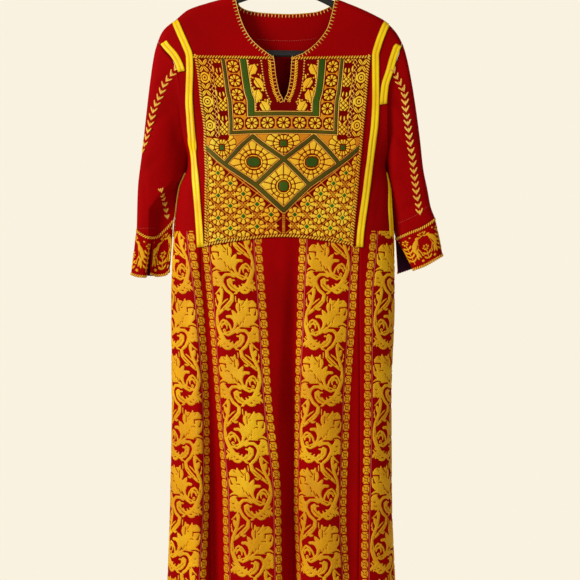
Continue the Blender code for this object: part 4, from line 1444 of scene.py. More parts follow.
PANEL_PLACES, PANEL_NORMALS, NET_X, NET_Y = panel_net()
A = np.abs(NET_X)
BOWED_Y = NET_Y + BOW * (1 - (A / BOW_WIDTH) ** 2)
slit_x = np.where(NET_X < 0, *(column(NECK_AND_SLIT, 0, side, PANEL_PLACES[..., 2]) for side in (1, 2)))
beside_slit = np.abs(PANEL_PLACES[..., 0] - slit_x) / UNIT
FROM_SLIT = np.where(PANEL_PLACES[..., 2] > SLIT_TIP, beside_slit, NO_SLIT)
FROM_EDGE = np.minimum(np.minimum(PANEL_HALF - A, NET_Y - NET_Y[0] + 0.2), NET_Y[-1] - NET_Y + 0.2)
print("points in the panel's net:", NET_X.shape)

# %% [markdown]
# ## Green bands, the V and the diamonds
# The bands are couched cloth strips in olive green: two U shapes round the slit, a wide V across the lower
# half, and two diamonds that stand on it. Round each of them runs a thin pale outline.

# %% Green bands

# Stones: across, down and half width, or half width and half height
OUTER_SQUARE = (57.2, 147.6, 2.6)
CENTRE_SQUARE = (0.0, 143.4, 3.0)
SIDE_OCTAGON = (26.7, 162.0, 5.7, 4.6)
LOW_OCTAGON = (0.0, 186.2, 4.2, 5.0)
SQUARES = (OUTER_SQUARE, CENTRE_SQUARE)
OCTAGONS = (SIDE_OCTAGON, LOW_OCTAGON)

# The two U shapes: half width, place and lower end of the sides, then half height, place and end of the foot
NARROW_U = (1.35, 49.2, 134.6, 1.4, 133.2, 50.5)
WIDE_U = (2.85, 29.4, 117.2, 1.7, 115.6, 32.2)
V_LINE = ((79, 146.2), (55, 164.2), (25.5, 185.1), (0, 210.4))
DIAMOND_LINE = ((54.1, 163.0), (27.8, 136.2), (0, 159.0), (26, 185.0))


def u_band(side_half, across, side_end, foot_half, down, foot_end):
    """The two sides and the foot of a U."""
    sides = np.minimum(side_half - np.abs(A - across), side_end - BOWED_Y)
    foot = np.minimum(foot_half - np.abs(BOWED_Y - down), foot_end - A)
    return sides, foot


narrow_sides, narrow_foot = u_band(*NARROW_U)
wide_sides, wide_foot = u_band(*WIDE_U)
v_band = stroke(A, NET_Y, V_LINE, (2.0, 2.0))
diamond_band = stroke(A, NET_Y, DIAMOND_LINE, (1.7, 1.7))
olive_bands = any_of(narrow_sides, narrow_foot, wide_foot, v_band, diamond_band)
bands = np.minimum(np.maximum(olive_bands, wide_sides), FROM_EDGE - 3)
stones = any_of(*(octagon(A, NET_Y, *row) for row in OCTAGONS), *(square(A, NET_Y, *row) for row in SQUARES))
piping = 0.38 - np.abs(bands + 0.72)
print("green bands charted")

# %% [markdown]
# ## The upper half: rosettes, pineapples, daisies and beads
# From the side edge to the slit the columns are: ringed rosettes between crossed leaves, a zigzag with
# dots, cross-hatched pineapples under their leaves, a green band, daisies in squares, a wider green band,
# and slanting beads between dotted lines.

# %% Upper half
ROSETTES = (72.0, 77.5, 24.0)
PINEAPPLES = (55.8, 81.5, 24.0)
HATCH_STEP = 4.8
HATCH_HALF = 0.36
DAISY_COLUMN = (40.4, 66.4, 14.1)
DAISY_ROW = (124.6, (0.0, 14.5, 29.0, 43.0))
BEADS = ((21.6, 69.4), (17.6, 83.0), (21.4, 95.0), (16.8, 106.4))
ZIGZAG_PERIOD = 5.2
DOT_PERIOD = 2.7

# Limits of the parts of the chart, across and down
OUTER_PART = 50.8
OUTER_FOOT = 139.0
OUTER_RISE = 0.12
DAISY_FOOT = 131.4
INNER_EDGE = 25.9
INNER_FOOT = 113.4
DOTS_FOOT = 113.0


def rosette_column(x, y):
    """Ringed rosettes with a side leaf each, and crossed leaves between them."""
    cx, first, step = ROSETTES
    fields = []
    for k in range(-1, 3):
        u, v = x - cx, y - first - step * k
        fields.append(ring(u, v, 0, 0, 4.5, 1.0))
        fields.append(ring(u, v, 0, 0, 1.9, 0.8))
        for side in (-1, 1):
            fields.append(leaf(u, v, (side * 6.2, -6.4), (side * 5.4, 0), (side * 6.2, 6.4), 0.7))
        v = v - step / 2
        for dx in (-1, 1):
            for dy in (-1, 1):
                points = (dx * 0.4, dy * 0.4), (dx * 2.4, dy * 4.0), (dx * 5.4, dy * 6.4)
                vein = stroke(u, v, bent(*points), (0.25, 0.3))
                fields.append(without(leaf(u, v, *points, 1.7), vein))
            fields.append(disc(u, v, dx * 4.6, 0, 1.0))
    return any_of(*fields)


def hatch_line(slant):
    """Thin lines at even steps across a slanting measure."""
    return HATCH_HALF - np.abs((slant + HATCH_STEP / 2) % HATCH_STEP - HATCH_STEP / 2) * DIAGONAL


def pineapple_column(x, y):
    """Cross-hatched pineapples under their leaves."""
    cx, first, step = PINEAPPLES
    fields = []
    for k in range(-1, 3):
        u, v = x - cx, y - first - step * k
        bulb = 5.4 - np.hypot(u, v * 0.95)
        fields.append(without(bulb, hatch_line(u + v), hatch_line(u - v)))
        for dx in (-1, 1):
            fields.append(leaf(u, v, (dx * 0.8, -5.4), (dx * 3.2, -6.6), (dx * 4.4, -9.4), 1.0))
            fields.append(leaf(u, v, (dx * 5.6, -9.2), (dx * 5.2, -13), (dx * 6, -16), 1.1))
            fields.append(stroke(u, v, ((dx * 6.0, -5), (dx * 6.6, 0), (dx * 5.6, 6)), (0.4, 0.4)))
            fields.append(disc(u, v, dx * 5.6, 5.4, 0.9))
        fields.append(leaf(u, v, (-1.6, -9), (-2.6, -11), (-1.4, -14), 0.9))
        fields.append(leaf(u, v, (1.4, -8.6), (2.4, -11), (1.4, -13.6), 0.9))
    return any_of(*fields)


def zigzag(x, y, centre, swing, period, half_width):
    wave = np.abs((y / period) % 1 - 0.5) * 4 - 1
    return (half_width - np.abs(x - centre - swing * wave)) * 0.7


def dots(x, y, centre, period, half):
    return np.minimum(half - np.abs(x - centre), half - np.abs((y % period) - period / 2))


def daisies(x, y):
    cx, first, step = DAISY_COLUMN
    centres = [(cx, first + step * k, y) for k in range(4)]
    centres += [(across, DAISY_ROW[0], BOWED_Y) for across in DAISY_ROW[1]]
    flowers = any_of(*(wedges(x, yy, px, py, 8, 0.3, 5.6, 0.4) for px, py, yy in centres))
    wells = any_of(*(octagon(x, yy, px, py, 6.5, 6.5) for px, py, yy in centres))
    return flowers, wells


def beads(x, y):
    """Slanting beads with dots at their corners, and a pair of leaves between each two."""
    fields = []
    for k, (cx, cy) in enumerate(BEADS):
        u, v = x - cx, y - cy
        lean = 0.5 if k % 2 else -0.5
        aside = u + v * lean
        down = v - u * lean
        bead = np.minimum(4.4 - np.abs(aside), (7.0 - np.abs(aside) * 0.9 - np.abs(down)) * 0.75)
        fields.append(without(bead, 0.3 - np.abs(aside - 1.3)))
        for dx, dy in ((-5.2, -4.6), (5.0, 4.4), (4.8, -5.2), (-5.0, 5.0)):
            fields.append(disc(u, v, dx, dy, 0.85))
    for (cx, cy), (nx, ny) in zip(BEADS[:-1], BEADS[1:]):
        u, v = x - (cx + nx) / 2, y - (cy + ny) / 2
        side = 1 if nx > cx else -1
        for out, bend in ((-side, 4.0), (side, 4.2)):
            fields.append(leaf(u, v, (out * 5.6, -2), (out * bend, 0), (out * 5.4, 2.6), 0.9))
    return any_of(*fields)


outer_limit = OUTER_FOOT - OUTER_RISE * (A - 50) - NET_Y
upper_limit = np.where(A > OUTER_PART, outer_limit, DAISY_FOOT - BOWED_Y)
daisy_flowers, daisy_wells = daisies(A, NET_Y)
outer_columns = any_of(rosette_column(A, NET_Y), pineapple_column(A, NET_Y))
outer_columns = np.minimum(outer_columns, A - OUTER_PART - 0.1)
inner_columns = np.minimum(np.minimum(beads(A, NET_Y), INNER_EDGE - A), INNER_FOOT - BOWED_Y)
dashes = np.minimum(1.1 - np.abs(FROM_SLIT - 5.9), 0.85 - np.abs((NET_Y + FROM_SLIT) % 2.6 - 1.3))
slit_dashes = any_of(dashes, 0.4 - np.abs(FROM_SLIT - 4.2))
inner_columns = np.where(FROM_SLIT < 7.0, slit_dashes, inner_columns)
gold_upper = np.minimum(any_of(outer_columns, daisy_flowers, inner_columns), upper_limit)
strip_foot = np.minimum(7.3 - np.abs(BOWED_Y - 124.4), 47.2 - A)
daisy_strip = np.minimum(any_of(6.3 - np.abs(A - 40.5), strip_foot), DAISY_FOOT - 0.1 - BOWED_Y)
orange_upper = np.minimum(without(daisy_strip, daisy_wells), np.maximum(A - 34.2, BOWED_Y - 117.4))
zigzags = any_of(zigzag(A, NET_Y, 64.6, 1.2, ZIGZAG_PERIOD, 0.5),
                 zigzag(A, NET_Y, 62.4, -1.0, ZIGZAG_PERIOD, 0.45))
outer_dots = dots(A, NET_Y, 25.0, DOT_PERIOD, 0.75)
inner_dots = np.minimum(dots(A, NET_Y, 12.4, DOT_PERIOD, 0.75), FROM_SLIT - 7.2)
dot_lines = np.minimum(any_of(outer_dots, inner_dots), DOTS_FOOT - BOWED_Y)
cream_upper = np.minimum(any_of(zigzags, dot_lines), upper_limit)
print("upper half charted")

# %% [markdown]
# ## The lower half: sunbursts, diamonds and a net of flowers
# Above the V three sunbursts and three diamonds fill the space with rays round green squares and octagons.
# Below it a slanting net repeats one small flower with a leaf-green heart. Everything keeps to its own
# field, and dark gaps of bare crimson draw the outlines.

# %% Lower half
FLOWER_COLUMNS = 6
FLOWER_FIRST = 11.5
FLOWER_STEP = 13.1
FLOWER_DROP = 10.4
FLOWER_ROW = 22.4
FLOWER_TOP = 214.6
FLOWER_LIMIT = 250
NOTHING = -9.0
V_MARGIN = 2.8


def line_height(corners):
    """The height down the chart of a line through corners, read across the whole net."""
    corners = sorted(corners)
    return np.interp(A, [x for x, _ in corners], [y for _, y in corners])


OUTER_CORNER, TOP_CORNER, CENTRE_CORNER, FOOT_CORNER = DIAMOND_LINE
v_height = line_height(V_LINE)
above_v = v_height - NET_Y - V_MARGIN
below_v = NET_Y - v_height - V_MARGIN
diamond_upper = line_height((CENTRE_CORNER, TOP_CORNER, OUTER_CORNER))
diamond_lower = line_height((CENTRE_CORNER, FOOT_CORNER, OUTER_CORNER))
low_roof = line_height((CENTRE_CORNER, FOOT_CORNER))
in_side_diamond = np.minimum(NET_Y - diamond_upper, diamond_lower - NET_Y) * 0.7 - 2.2
in_side_diamond = np.where(A < OUTER_CORNER[0], in_side_diamond, NOTHING)
in_low_diamond = np.minimum(NET_Y - low_roof, v_height - NET_Y) * 0.7 - 2.2
in_low_diamond = np.where(A < FOOT_CORNER[0], in_low_diamond, NOTHING)
under_u = np.where(A < 50.5, BOWED_Y - 135.4, NET_Y - 140.2 + OUTER_RISE * (A - 50))
above_diamonds = np.where(A > OUTER_CORNER[0], above_v, diamond_upper - NET_Y - 2.4)
outside = np.minimum(np.minimum(under_u, above_v), above_diamonds)


def ray_field(stone, count, inner, middle, outer):
    """Two rings of rays round a stone: short ones, then long ones."""
    cx, cy = stone[:2]
    short = wedges(A, NET_Y, cx, cy, count, inner, middle, 0.36)
    long = wedges(A, NET_Y, cx, cy, count, middle + 0.7, outer, 0.42)
    return any_of(short, long)


outer_rays = ray_field(OUTER_SQUARE, 14, 3.6, 8.2, 15.5)
centre_rays = ray_field(CENTRE_SQUARE, 14, 4.1, 8.6, 15.5)
side_rays = ray_field(SIDE_OCTAGON, 16, 8.6, 12.0, 24.0)
low_rays = ray_field(LOW_OCTAGON, 14, 8.0, 11.2, 23.0)
side_x, side_y = SIDE_OCTAGON[:2]
side_frame = ring(A, side_y + (NET_Y - side_y) * 1.15, side_x, side_y, 7.4, 0.6)
low_frame = ring(A * 1.12, NET_Y, *LOW_OCTAGON[:2], 6.9, 0.6)
stars = any_of(np.minimum(any_of(outer_rays, centre_rays), outside),
               np.minimum(any_of(side_rays, side_frame), in_side_diamond),
               np.minimum(any_of(low_rays, low_frame), in_low_diamond))
star_ground = any_of(outside, in_side_diamond, in_low_diamond) - 0.2
stone_wells = any_of(*(octagon(A, NET_Y, x, y, a + 1.0, b + 1.0) for x, y, a, b in OCTAGONS),
                     *(square(A, NET_Y, x, y, half + 0.9) for x, y, half in SQUARES))
frames = any_of(side_frame, low_frame) + 1.5


def flower_net(x, y):
    """Flowers, their hearts, and the slanting lines between them."""
    flowers, hearts, corners = [], [], []
    for i in range(FLOWER_COLUMNS):
        cx = FLOWER_FIRST + FLOWER_STEP * i
        for j in range(6):
            cy = FLOWER_TOP - FLOWER_DROP * i + FLOWER_ROW * j
            if cy > FLOWER_LIMIT:
                continue
            u, v = x - cx, y - cy
            petal_ring = wedges(u, v, 0, 0, 8, 3.6, 7.6, 0.42)
            flowers.append(any_of(petal_ring, 0.55 - np.abs(diamond(u, v, 3.2))))
            hearts.append(diamond(u, v, 2.3))
            v = v - FLOWER_ROW / 2
            corners.append(wedges(u, v, 0, 0, 4, 0.3, 3.4, 0.4, math.pi / 4))
            for dx in (-4.4, 4.4):
                flowers.append(petals(u, v, dx, 0, 4, 0.3, 2.4, 0.8))
            for dy in (-4.2, 4.2):
                flowers.append(disc(u, v, 0, dy, 1.1))
    return any_of(*flowers), any_of(*hearts), any_of(*corners)


net_flowers, net_hearts, net_corners = flower_net(A, NET_Y)
lower_zone = np.minimum(below_v, np.where(A < 2.0, -1.0, 9.0))
rising = (NET_Y + FLOWER_DROP / FLOWER_STEP * (A - FLOWER_FIRST) - FLOWER_TOP) % FLOWER_ROW
falling = (NET_Y - (FLOWER_ROW - FLOWER_DROP) / FLOWER_STEP * (A - FLOWER_FIRST) - FLOWER_TOP) % FLOWER_ROW
net_lines = any_of(0.55 - np.abs(rising - FLOWER_ROW / 2) * 0.78,
                   0.55 - np.abs(falling - FLOWER_ROW / 2) * 0.74)
centre_join = np.minimum(1.5 - A, np.minimum(NET_Y - 212.5, 0.7 - np.abs(NET_Y % 1.9 - 0.95)))
gold_lower = any_of(stars, np.minimum(net_flowers, lower_zone))
orange_lower = any_of(without(star_ground, stars + 0.55, stone_wells, frames), centre_join,
                      np.minimum(without(any_of(net_lines, net_corners), net_flowers + 0.4), lower_zone))
print("lower half charted")

# %% [markdown]
# ## Laying the panel's threads
# The charted fields go down in layers, each in its own thread. A field is trimmed by what lies over it, by
# the rope edge that follows, and by the slit.

# %% Panel threads
room = np.minimum(FROM_EDGE - 3.2, FROM_SLIT - 2.6)
covered = any_of(bands, piping)
gold = without(any_of(gold_upper, gold_lower), covered + 0.35, stone_wells, net_hearts + 0.1)
gold = np.minimum(gold, room)
orange = np.minimum(without(any_of(orange_upper, orange_lower), covered + 0.35, gold + 0.3), room)
cream = np.minimum(without(any_of(piping, cream_upper), gold + 0.2), room)
plain_green = np.minimum(any_of(wide_sides, stones), FROM_EDGE - 2.6)
olive = without(np.minimum(olive_bands, FROM_EDGE - 2.6), wide_sides - 0.1)
leaf_hearts = np.minimum(net_hearts, np.minimum(lower_zone, room))

# Width in millimetres over which a shape's edge swells up to its full height
PANEL_EDGE = 1.1
PANEL_LAYERS = (
    ("panel_gold", gold, PANEL_GOLD, 0.75), ("panel_orange", orange, ORANGE_GOLD, 0.5),
    ("panel_outline", cream, CREAM_GOLD, 0.6), ("panel_green_bands", plain_green, GREEN, 0.65),
    ("panel_olive_bands", olive, OLIVE, 0.65),
    ("panel_flower_hearts", leaf_hearts, LEAF_GREEN, 0.8),
)
for name, field, finish, height in PANEL_LAYERS:
    thread_mesh(name, field * UNIT, PANEL_PLACES, PANEL_NORMALS, finish, NET_STEP * UNIT, height, PANEL_EDGE)

# %% [markdown]
# ## Scroll bands down the skirt
# Long bands run down the skirt, each about 114 mm wide: a strip of small crossed squares on either side,
# a fine line, and between them a rolling stem with curled leaves and a large open flower. The stem turns
# over at every half repeat, so one half is charted once, and every second one is its mirror image. The
# chart is on the same 1.9 mm units, 42 across and about 55 down.

# %% One half of the scroll
SCROLL_WIDTH = 42.0
HALF_REPEAT = 54.6

# Stems: half widths at start, middle and end, then points across and down
SCROLL_STEMS = (
    ((1.4, 2.2, 1.4), (
        (33.4, 1.4), (34.6, 7.6), (36.8, 14.3), (39.4, 21.0), (40.3, 28.2), (40.3, 34.4), (38.5, 39.8),
        (36.6, 44.2), (33.8, 48.7), (28.8, 52.7), (23.4, 54.3), (19.0, 52.9), (16.1, 49.2), (15.4, 45.1),
        (17.6, 43.6))),
    ((1.7, 2.2, 1.3), ((23.6, 4.5), (24.5, 9.9), (28.3, 14.3), (33.1, 17.9), (37.4, 21.9))),
    ((0.5, 0.8, 0.5), ((27.9, 7.9), (31.1, 10.1), (34.8, 13.9))),
    ((1.4, 1.5, 0.9), ((34.7, 48.3), (39.0, 50.3), (42.5, 53.8), (44.8, 57.2))),
    ((1.3, 1.3, 0.9), ((16.6, 33.1), (20.9, 38.0), (25.2, 41.1), (30.0, 43.6), (34.9, 42.0))),
    ((0.5, 0.8, 0.5), ((20.2, 32.2), (23.6, 36.7), (28.3, 40.0), (34.0, 41.8))),
    ((0.9, 1.8, 1.4), ((25.9, 39.6), (23.2, 35.8), (22.2, 31.7), (23.5, 27.7), (26.4, 25.3), (30.0, 25.5))),
    ((1.0, 1.1, 0.7), ((26.9, 37.5), (28.1, 33.5), (30.9, 30.0), (34.0, 28.6), (36.4, 30.4), (37.8, 34.0))),
    ((0.6, 1.1, 0.8), ((30.9, 37.1), (30.7, 34.2), (32.6, 31.8), (35.0, 32.9), (36.2, 35.8))),
    ((1.3, 1.7, 1.5), (
        (21.2, 40.9), (17.8, 38.9), (13.3, 39.1), (10.1, 42.2), (9.0, 46.0), (10.7, 50.0), (13.2, 54.3),
        (16.7, 57.2))),
    ((0.8, 1.0, 1.0), ((21.5, 44.5), (18.7, 44.7), (18.5, 48.3), (20.4, 51.4), (23.4, 53.8))),
    ((0.5, 0.9, 0.7), ((1.4, 58.1), (4.6, 55.4), (7.6, 51.8), (9.0, 48.3))),
    ((0.6, 0.9, 0.6), ((0.4, 19.2), (0.7, 22.8), (1.5, 28.2))),
    ((0.5, 0.6, 0.5), ((20.3, 5.8), (20.7, 8.5), (20.3, 11.2))),
    ((0.4, 0.6, 0.4), ((40.6, 7.6), (41.0, 10.3), (39.9, 13.4))),
)

# Leaves and petals: width, then start, middle and end
SCROLL_LEAVES = (
    (3.3, (18.8, 34.4), (14.8, 21.9), (17.5, 8.1)), (3.8, (17.9, 34.4), (10.4, 22.8), (9.5, 8.5)),
    (3.4, (17.0, 34.9), (5.9, 22.8), (1.4, 13.0)), (3.3, (16.6, 35.3), (5.3, 28.2), (1.0, 25.5)),
    (2.5, (16.1, 35.3), (5.2, 32.2), (0.1, 35.3)), (2.5, (20.2, 31.7), (20.9, 24.6), (25.1, 19.2)),
    (1.8, (19.4, 20.6), (19.2, 16.6), (19.7, 12.3)), (2.2, (7.0, 44.2), (4.5, 39.8), (0.6, 36.2)),
    (1.8, (9.3, 52.7), (7.0, 55.9), (8.6, 59.9)), (0.8, (37.1, 49.6), (38.5, 52.7), (39.1, 55.9)),
    (0.7, (37.6, 47.4), (39.0, 46.0), (40.4, 44.2)), (0.8, (38.2, 49.2), (40.4, 48.3), (41.8, 46.0)),
    (0.8, (21.0, 48.5), (22.4, 51.4), (24.8, 53.4)), (0.8, (25.4, 48.9), (26.6, 51.2), (28.8, 52.9)),
    (0.8, (27.8, 48.0), (30.7, 49.8), (34.0, 47.8)), (1.9, (37.8, 9.9), (36.4, 6.3), (38.7, 3.8)),
    (1.0, (25.3, 13.9), (28.0, 13.0), (30.1, 14.8)), (0.9, (39.6, 15.7), (40.1, 14.3), (41.0, 13.0)),
    (1.0, (25.8, 17.5), (28.2, 19.2), (30.4, 18.8)),
)

# Small leaves that fill the turn of the stem: width, then start, middle and end
SCROLL_FILLERS = (
    (1.5, (26.4, 55), (30, 57.6), (35.4, 56)), (1.3, (30.4, 52.4), (33.6, 54.6), (38, 54.4)),
    (1.2, (33.4, 50.8), (36.4, 52.2), (38.2, 51.6)), (1.0, (20, 57.6), (22.6, 57.6), (24.4, 55.6)),
)

# Round masses of the flower: across, down and radius
SCROLL_ROUNDS = (
    (12.9, 24.6, 6.6), (7.8, 19.7, 4.4), (14.2, 14.3, 4.6), (5.4, 13.0, 3.6), (7.1, 28.2, 4.2),
    (16.8, 27.3, 3.4), (3.6, 39.8, 3.9), (3.2, 44.2, 3.7), (5.5, 47.8, 2.9), (1.1, 48.3, 2.0),
    (6.6, 42.5, 3.0), (33.5, 38.9, 1.7),
)

# Bare lines left inside the flower and stems: half width, then start, middle and end
SCROLL_VEINS = (
    (0.42, (11.7, 8.3), (11.7, 10.8), (15.5, 14.8)), (0.6, (1.7, 16.8), (4.4, 16.8), (8.1, 17.2)),
    (0.42, (7.2, 24.2), (9.0, 22.8), (11.2, 24.4)), (0.36, (12.9, 26.4), (14.2, 28.2), (14.5, 31.3)),
    (0.36, (16.3, 30.4), (17.1, 32.6), (19.2, 35.3)), (0.6, (0.4, 36.2), (3.4, 33.1), (8.2, 35.3)),
    (0.3, (5.5, 10.3), (6.3, 11.7), (7.8, 13.0)), (0.4, (2.6, 42.0), (3.4, 43.4), (4.8, 42.5)),
    (0.42, (17.0, 13.0), (16.6, 16.6), (17.3, 20.1)), (0.3, (37.9, 20.6), (39.2, 26.4), (39.7, 33.5)),
    (0.3, (31.0, 13.0), (34.9, 17.5), (37.5, 19.7)), (0.36, (12.8, 16.1), (14.1, 17.5), (15.0, 16.6)),
    (0.3, (3.4, 46.0), (5.1, 47.4), (6.4, 46.9)), (0.3, (23.9, 54.3), (19.1, 52.3), (16.6, 47.8)),
    (0.3, (24.5, 10.8), (27.9, 13.9), (31.8, 17.0)), (0.5, (7.4, 17.9), (8.3, 19.2), (7.8, 21.0)),
)

# Small bare spots: across, down and radius
SCROLL_HOLES = (
    (33.3, 39.0, 0.6), (32.7, 18.1, 0.7), (16.7, 30.9, 0.4), (14.4, 34.0, 0.45),
)


def scroll_half(x, y):
    fields = [stroke(x, y, points, widths) for widths, points in SCROLL_STEMS]
    fields += [leaf(x, y, *points, width) for width, *points in SCROLL_LEAVES + SCROLL_FILLERS]
    fields += [disc(x, y, *round_mass) for round_mass in SCROLL_ROUNDS]
    bare = [stroke(x, y, bent(*points), (half, half)) for half, *points in SCROLL_VEINS]
    bare += [disc(x, y, *spot) for spot in SCROLL_HOLES]
    return without(any_of(*fields), *bare)


def scroll(across, down):
    """The rolling stem: one charted half, with its mirror image above and below it."""
    turn = np.floor(down / HALF_REPEAT)
    y = down - turn * HALF_REPEAT
    flip = turn.astype(int) % 2 == 1
    result = np.full(across.shape, NOTHING)
    for shift in (-1, 0, 1):
        here = flip if shift == 0 else ~flip
        x = np.where(here, SCROLL_WIDTH - across, across)
        part = y - shift * HALF_REPEAT
        near = (part > -3) & (part < HALF_REPEAT + 8)
        field = np.full(across.shape, NOTHING)
        field[near] = scroll_half(x[near], part[near])
        result = np.maximum(result, field)
    return np.minimum(result, np.minimum(across, SCROLL_WIDTH - across) + 0.2)


CELL = 9.1
STRIP = 7.2


def strip_cells(across, down):
    """A border strip: square blocks with a ring in the middle and cuts from the corners."""
    dx = across - STRIP / 2
    dy = down % CELL - CELL / 2
    block = np.minimum(3.4 - np.abs(dx), 3.95 - np.abs(dy))
    corner = 0.36 - np.abs(np.abs(dx) - np.abs(dy) * 0.85) * 0.75
    corner = np.minimum(corner, np.hypot(dx, dy) - 2.2)
    notch = 0.75 - np.hypot((np.abs(dx) - 3.7) * 0.8, np.abs(dy) - 4.0)
    return without(block, ring(dx, dy, 0, 0, 1.5, 0.36), corner, notch)


print("scroll shapes:", len(SCROLL_STEMS) + len(SCROLL_LEAVES))

# %% [markdown]
# ## Placing a band on the folds
# A band starts from one visible edge, read from the photograph at a few heights, and is measured from there
# along the cloth, in and out of the folds, so that the pattern keeps its true width. The outer bands run
# round the sides of the dress. The photograph doesn't show the back, so it gets two bands like the front's.

# %% Bands on the cloth
BAND_WIDTH = 60.0
BAND_STEP = 0.87
SKIRT_FACE = CLOTH / 2
FRONT_GUESS = -45.0
HEM = -1478.0

# Front bands: the way across from the edge, then the edge's places, in pixels down and across
BAND_EDGES = {
    "outer_left": (-1, ((235, 194.5), (300, 203), (400, 209), (500, 209), (580, 206), (700, 204))),
    "middle_left": (-1, ((244, 262), (300, 266), (400, 272), (500, 281), (580, 282), (700, 283))),
    "middle_right": (1, ((244, 299), (300, 297), (400, 295), (500, 294), (580, 297), (700, 298))),
    "outer_right": (1, ((235, 370), (300, 364.5), (400, 364), (500, 362), (580, 361), (700, 360))),
}

# Back bands: the way across from the edge, and the edge's place in millimetres
BACK_BANDS = {"back_left": (1, -30), "back_right": (-1, 34)}
OUTER_TOP = -556.0
MIDDLE_TOP = -568.0
BACK_TOP = -585.0

# How far into its repeat the scroll starts
OUTER_PHASE = -4.3
MIDDLE_PHASE = 2.0
BAND_EDGE_SWELL = 1.7
SCROLL_START = 9
SEARCH_ANGLE = 1.75


def on_front(across, down):
    """The angle and height of the front where the camera sees a pixel."""
    across, down = np.asarray(across, float), np.asarray(down, float)
    y = np.full(across.shape, FRONT_GUESS)
    for _ in range(6):
        scale = (CAMERA_DISTANCE / MM + y) * MM / CAMERA_DISTANCE
        x = CAMERA_AIM[0] / MM + (across - HALF_FRAME) * UNIT * scale
        z = CAMERA_AIM[1] / MM - (down - HALF_FRAME) * UNIT * scale
        y = body_point(angle_at(x, z), z)[..., 1]
    return angle_at(x, z), z


def band_net(start_angle, direction, top):
    """Places, normals and chart units of a band measured along the cloth from one edge."""
    z = np.arange(top, HEM, -BAND_STEP * UNIT)
    angle = start_angle(z)[:, None] + direction * np.linspace(0, SEARCH_ANGLE, 700)[None]
    arc = lengths_across(body_point(angle, z[:, None]))
    units = np.arange(0, BAND_WIDTH + 0.01, BAND_STEP)
    chosen = np.array([np.interp(units * UNIT, a, b) for a, b in zip(arc, angle)])
    if direction < 0:
        chosen, units = chosen[:, ::-1], BAND_WIDTH - units[::-1]
    normals = body_normal(chosen, z[:, None])
    places = body_point(chosen, z[:, None]) + normals * (SKIRT_FACE - CLOTH_SINK)
    down = (top - z) / UNIT
    return places, normals, *np.broadcast_arrays(units[None], down[:, None])


FOOT_X, FOOT_Z = PANEL_PLACES[-1, :, 0], PANEL_PLACES[-1, :, 2]


def lay_band(name, net, phase, under_panel):
    """The scroll, the two strips and the lines of one band, each as a piece of its own."""
    places, normals, across, down = net
    room = np.minimum(np.minimum(across, BAND_WIDTH - across) + 0.3, down - 0.3)
    if under_panel:
        foot = np.interp(places[..., 0], FOOT_X, FOOT_Z)
        room = np.minimum(room, (foot - places[..., 2]) / UNIT - 0.6)
    edge = np.minimum(across, BAND_WIDTH - across)
    stems = np.minimum(scroll(across - SCROLL_START, down + phase), edge - SCROLL_START + 0.3)
    strips = np.where(edge < STRIP + 0.2, strip_cells(edge, down + phase * 0.5), -5.0)
    lines = 0.42 - np.abs(edge - 8.0)
    parts = (("scroll", stems, GOLD, 0.85), ("strips", strips, STRIP_GOLD, 0.7), ("lines", lines, PINK, 0.45))
    for part, shape, finish, height in parts:
        shape = np.minimum(shape, room) * UNIT
        thread_mesh(f"{name}_{part}", shape, places, normals, finish, BAND_STEP * UNIT, height,
                    BAND_EDGE_SWELL)


STRIP_GOLD = embroidery_thread("strip_gold_thread", (206, 138, 6), (226, 160, 10), (240, 182, 16))
for name, (direction, table) in BAND_EDGES.items():
    middle = name.startswith("middle")
    angles, heights = on_front([row[1] for row in table], [row[0] for row in table])
    net = band_net(lambda z: curve(heights, angles, z), direction, MIDDLE_TOP if middle else OUTER_TOP)
    lay_band(name, net, MIDDLE_PHASE if middle else OUTER_PHASE, middle)
for name, (direction, edge) in BACK_BANDS.items():
    net = band_net(lambda z: angle_at(edge, z, True), direction, BACK_TOP)
    lay_band(name, net, OUTER_PHASE, False)

# %% [markdown]
# ## Embroidered cuffs
# Each cuff carries a frieze: pairs of small birds that face each other over stacked flowers, with leaf
# sprays between. The frieze is charted once and repeats round the cuff.

# %% Cuffs
CUFF_HEIGHT = 46.0
CUFF_BORDER = 4.5
CUFF_SIDE_BORDER = 3.0
FRIEZE = 34.0
FRIEZE_MIDDLE = 17
FRIEZE_START = {"left": 3.0, "right": 24.0}
CUFF_STEP = 0.66
CUFF_EDGE = 1.2


def bird(x, y, cx, cy, facing):
    """An upright bird with a long tail, seen from the side."""
    x = (x - cx) * facing
    y = y - cy
    body = leaf(x, y, (-2.8, 8.6), (-4.4, 0), (2.0, -8.8), 3.2)
    head = disc(x, y, 1.9, -9.2, 1.8)
    beak = leaf(x, y, (3.0, -9.6), (4.4, -9.6), (5.6, -8.8), 0.8)
    long_feather = leaf(x, y, (-2.2, 6), (-3.6, 11), (-3.4, 16), 1.4)
    short_feather = leaf(x, y, (-1.4, 6), (-1.4, 11), (-0.2, 15), 1.0)
    leg = stroke(x, y, ((-0.2, 3.6), (1.6, 8.8), (1.8, 12.4), (3.4, 12.6)), (0.6, 0.55))
    wing_line = leaf(x, y, (-2.8, 4.4), (-0.4, 2.4), (0.8, -3.6), 0.5)
    return without(any_of(body, head, beak, long_feather, short_feather, leg), wing_line)


def spray(x, y, cx, foot, top):
    """An upright stem with paired leaves under a flower."""
    x = x - cx
    stem = stroke(x, y, ((0, top + 3), (0, foot)), (0.45, 0.45))
    fields = [stem, wedges(x, y, 0, top, 6, 0.5, 3.6, 0.4)]
    for cy in np.arange(top + 8.6, foot + 0.1, 5.4):
        for side in (-1, 1):
            fields.append(leaf(x, y, (0, cy), (side * 2.6, cy - 0.6), (side * 4.4, cy - 4.2), 1.05))
    return any_of(*fields)


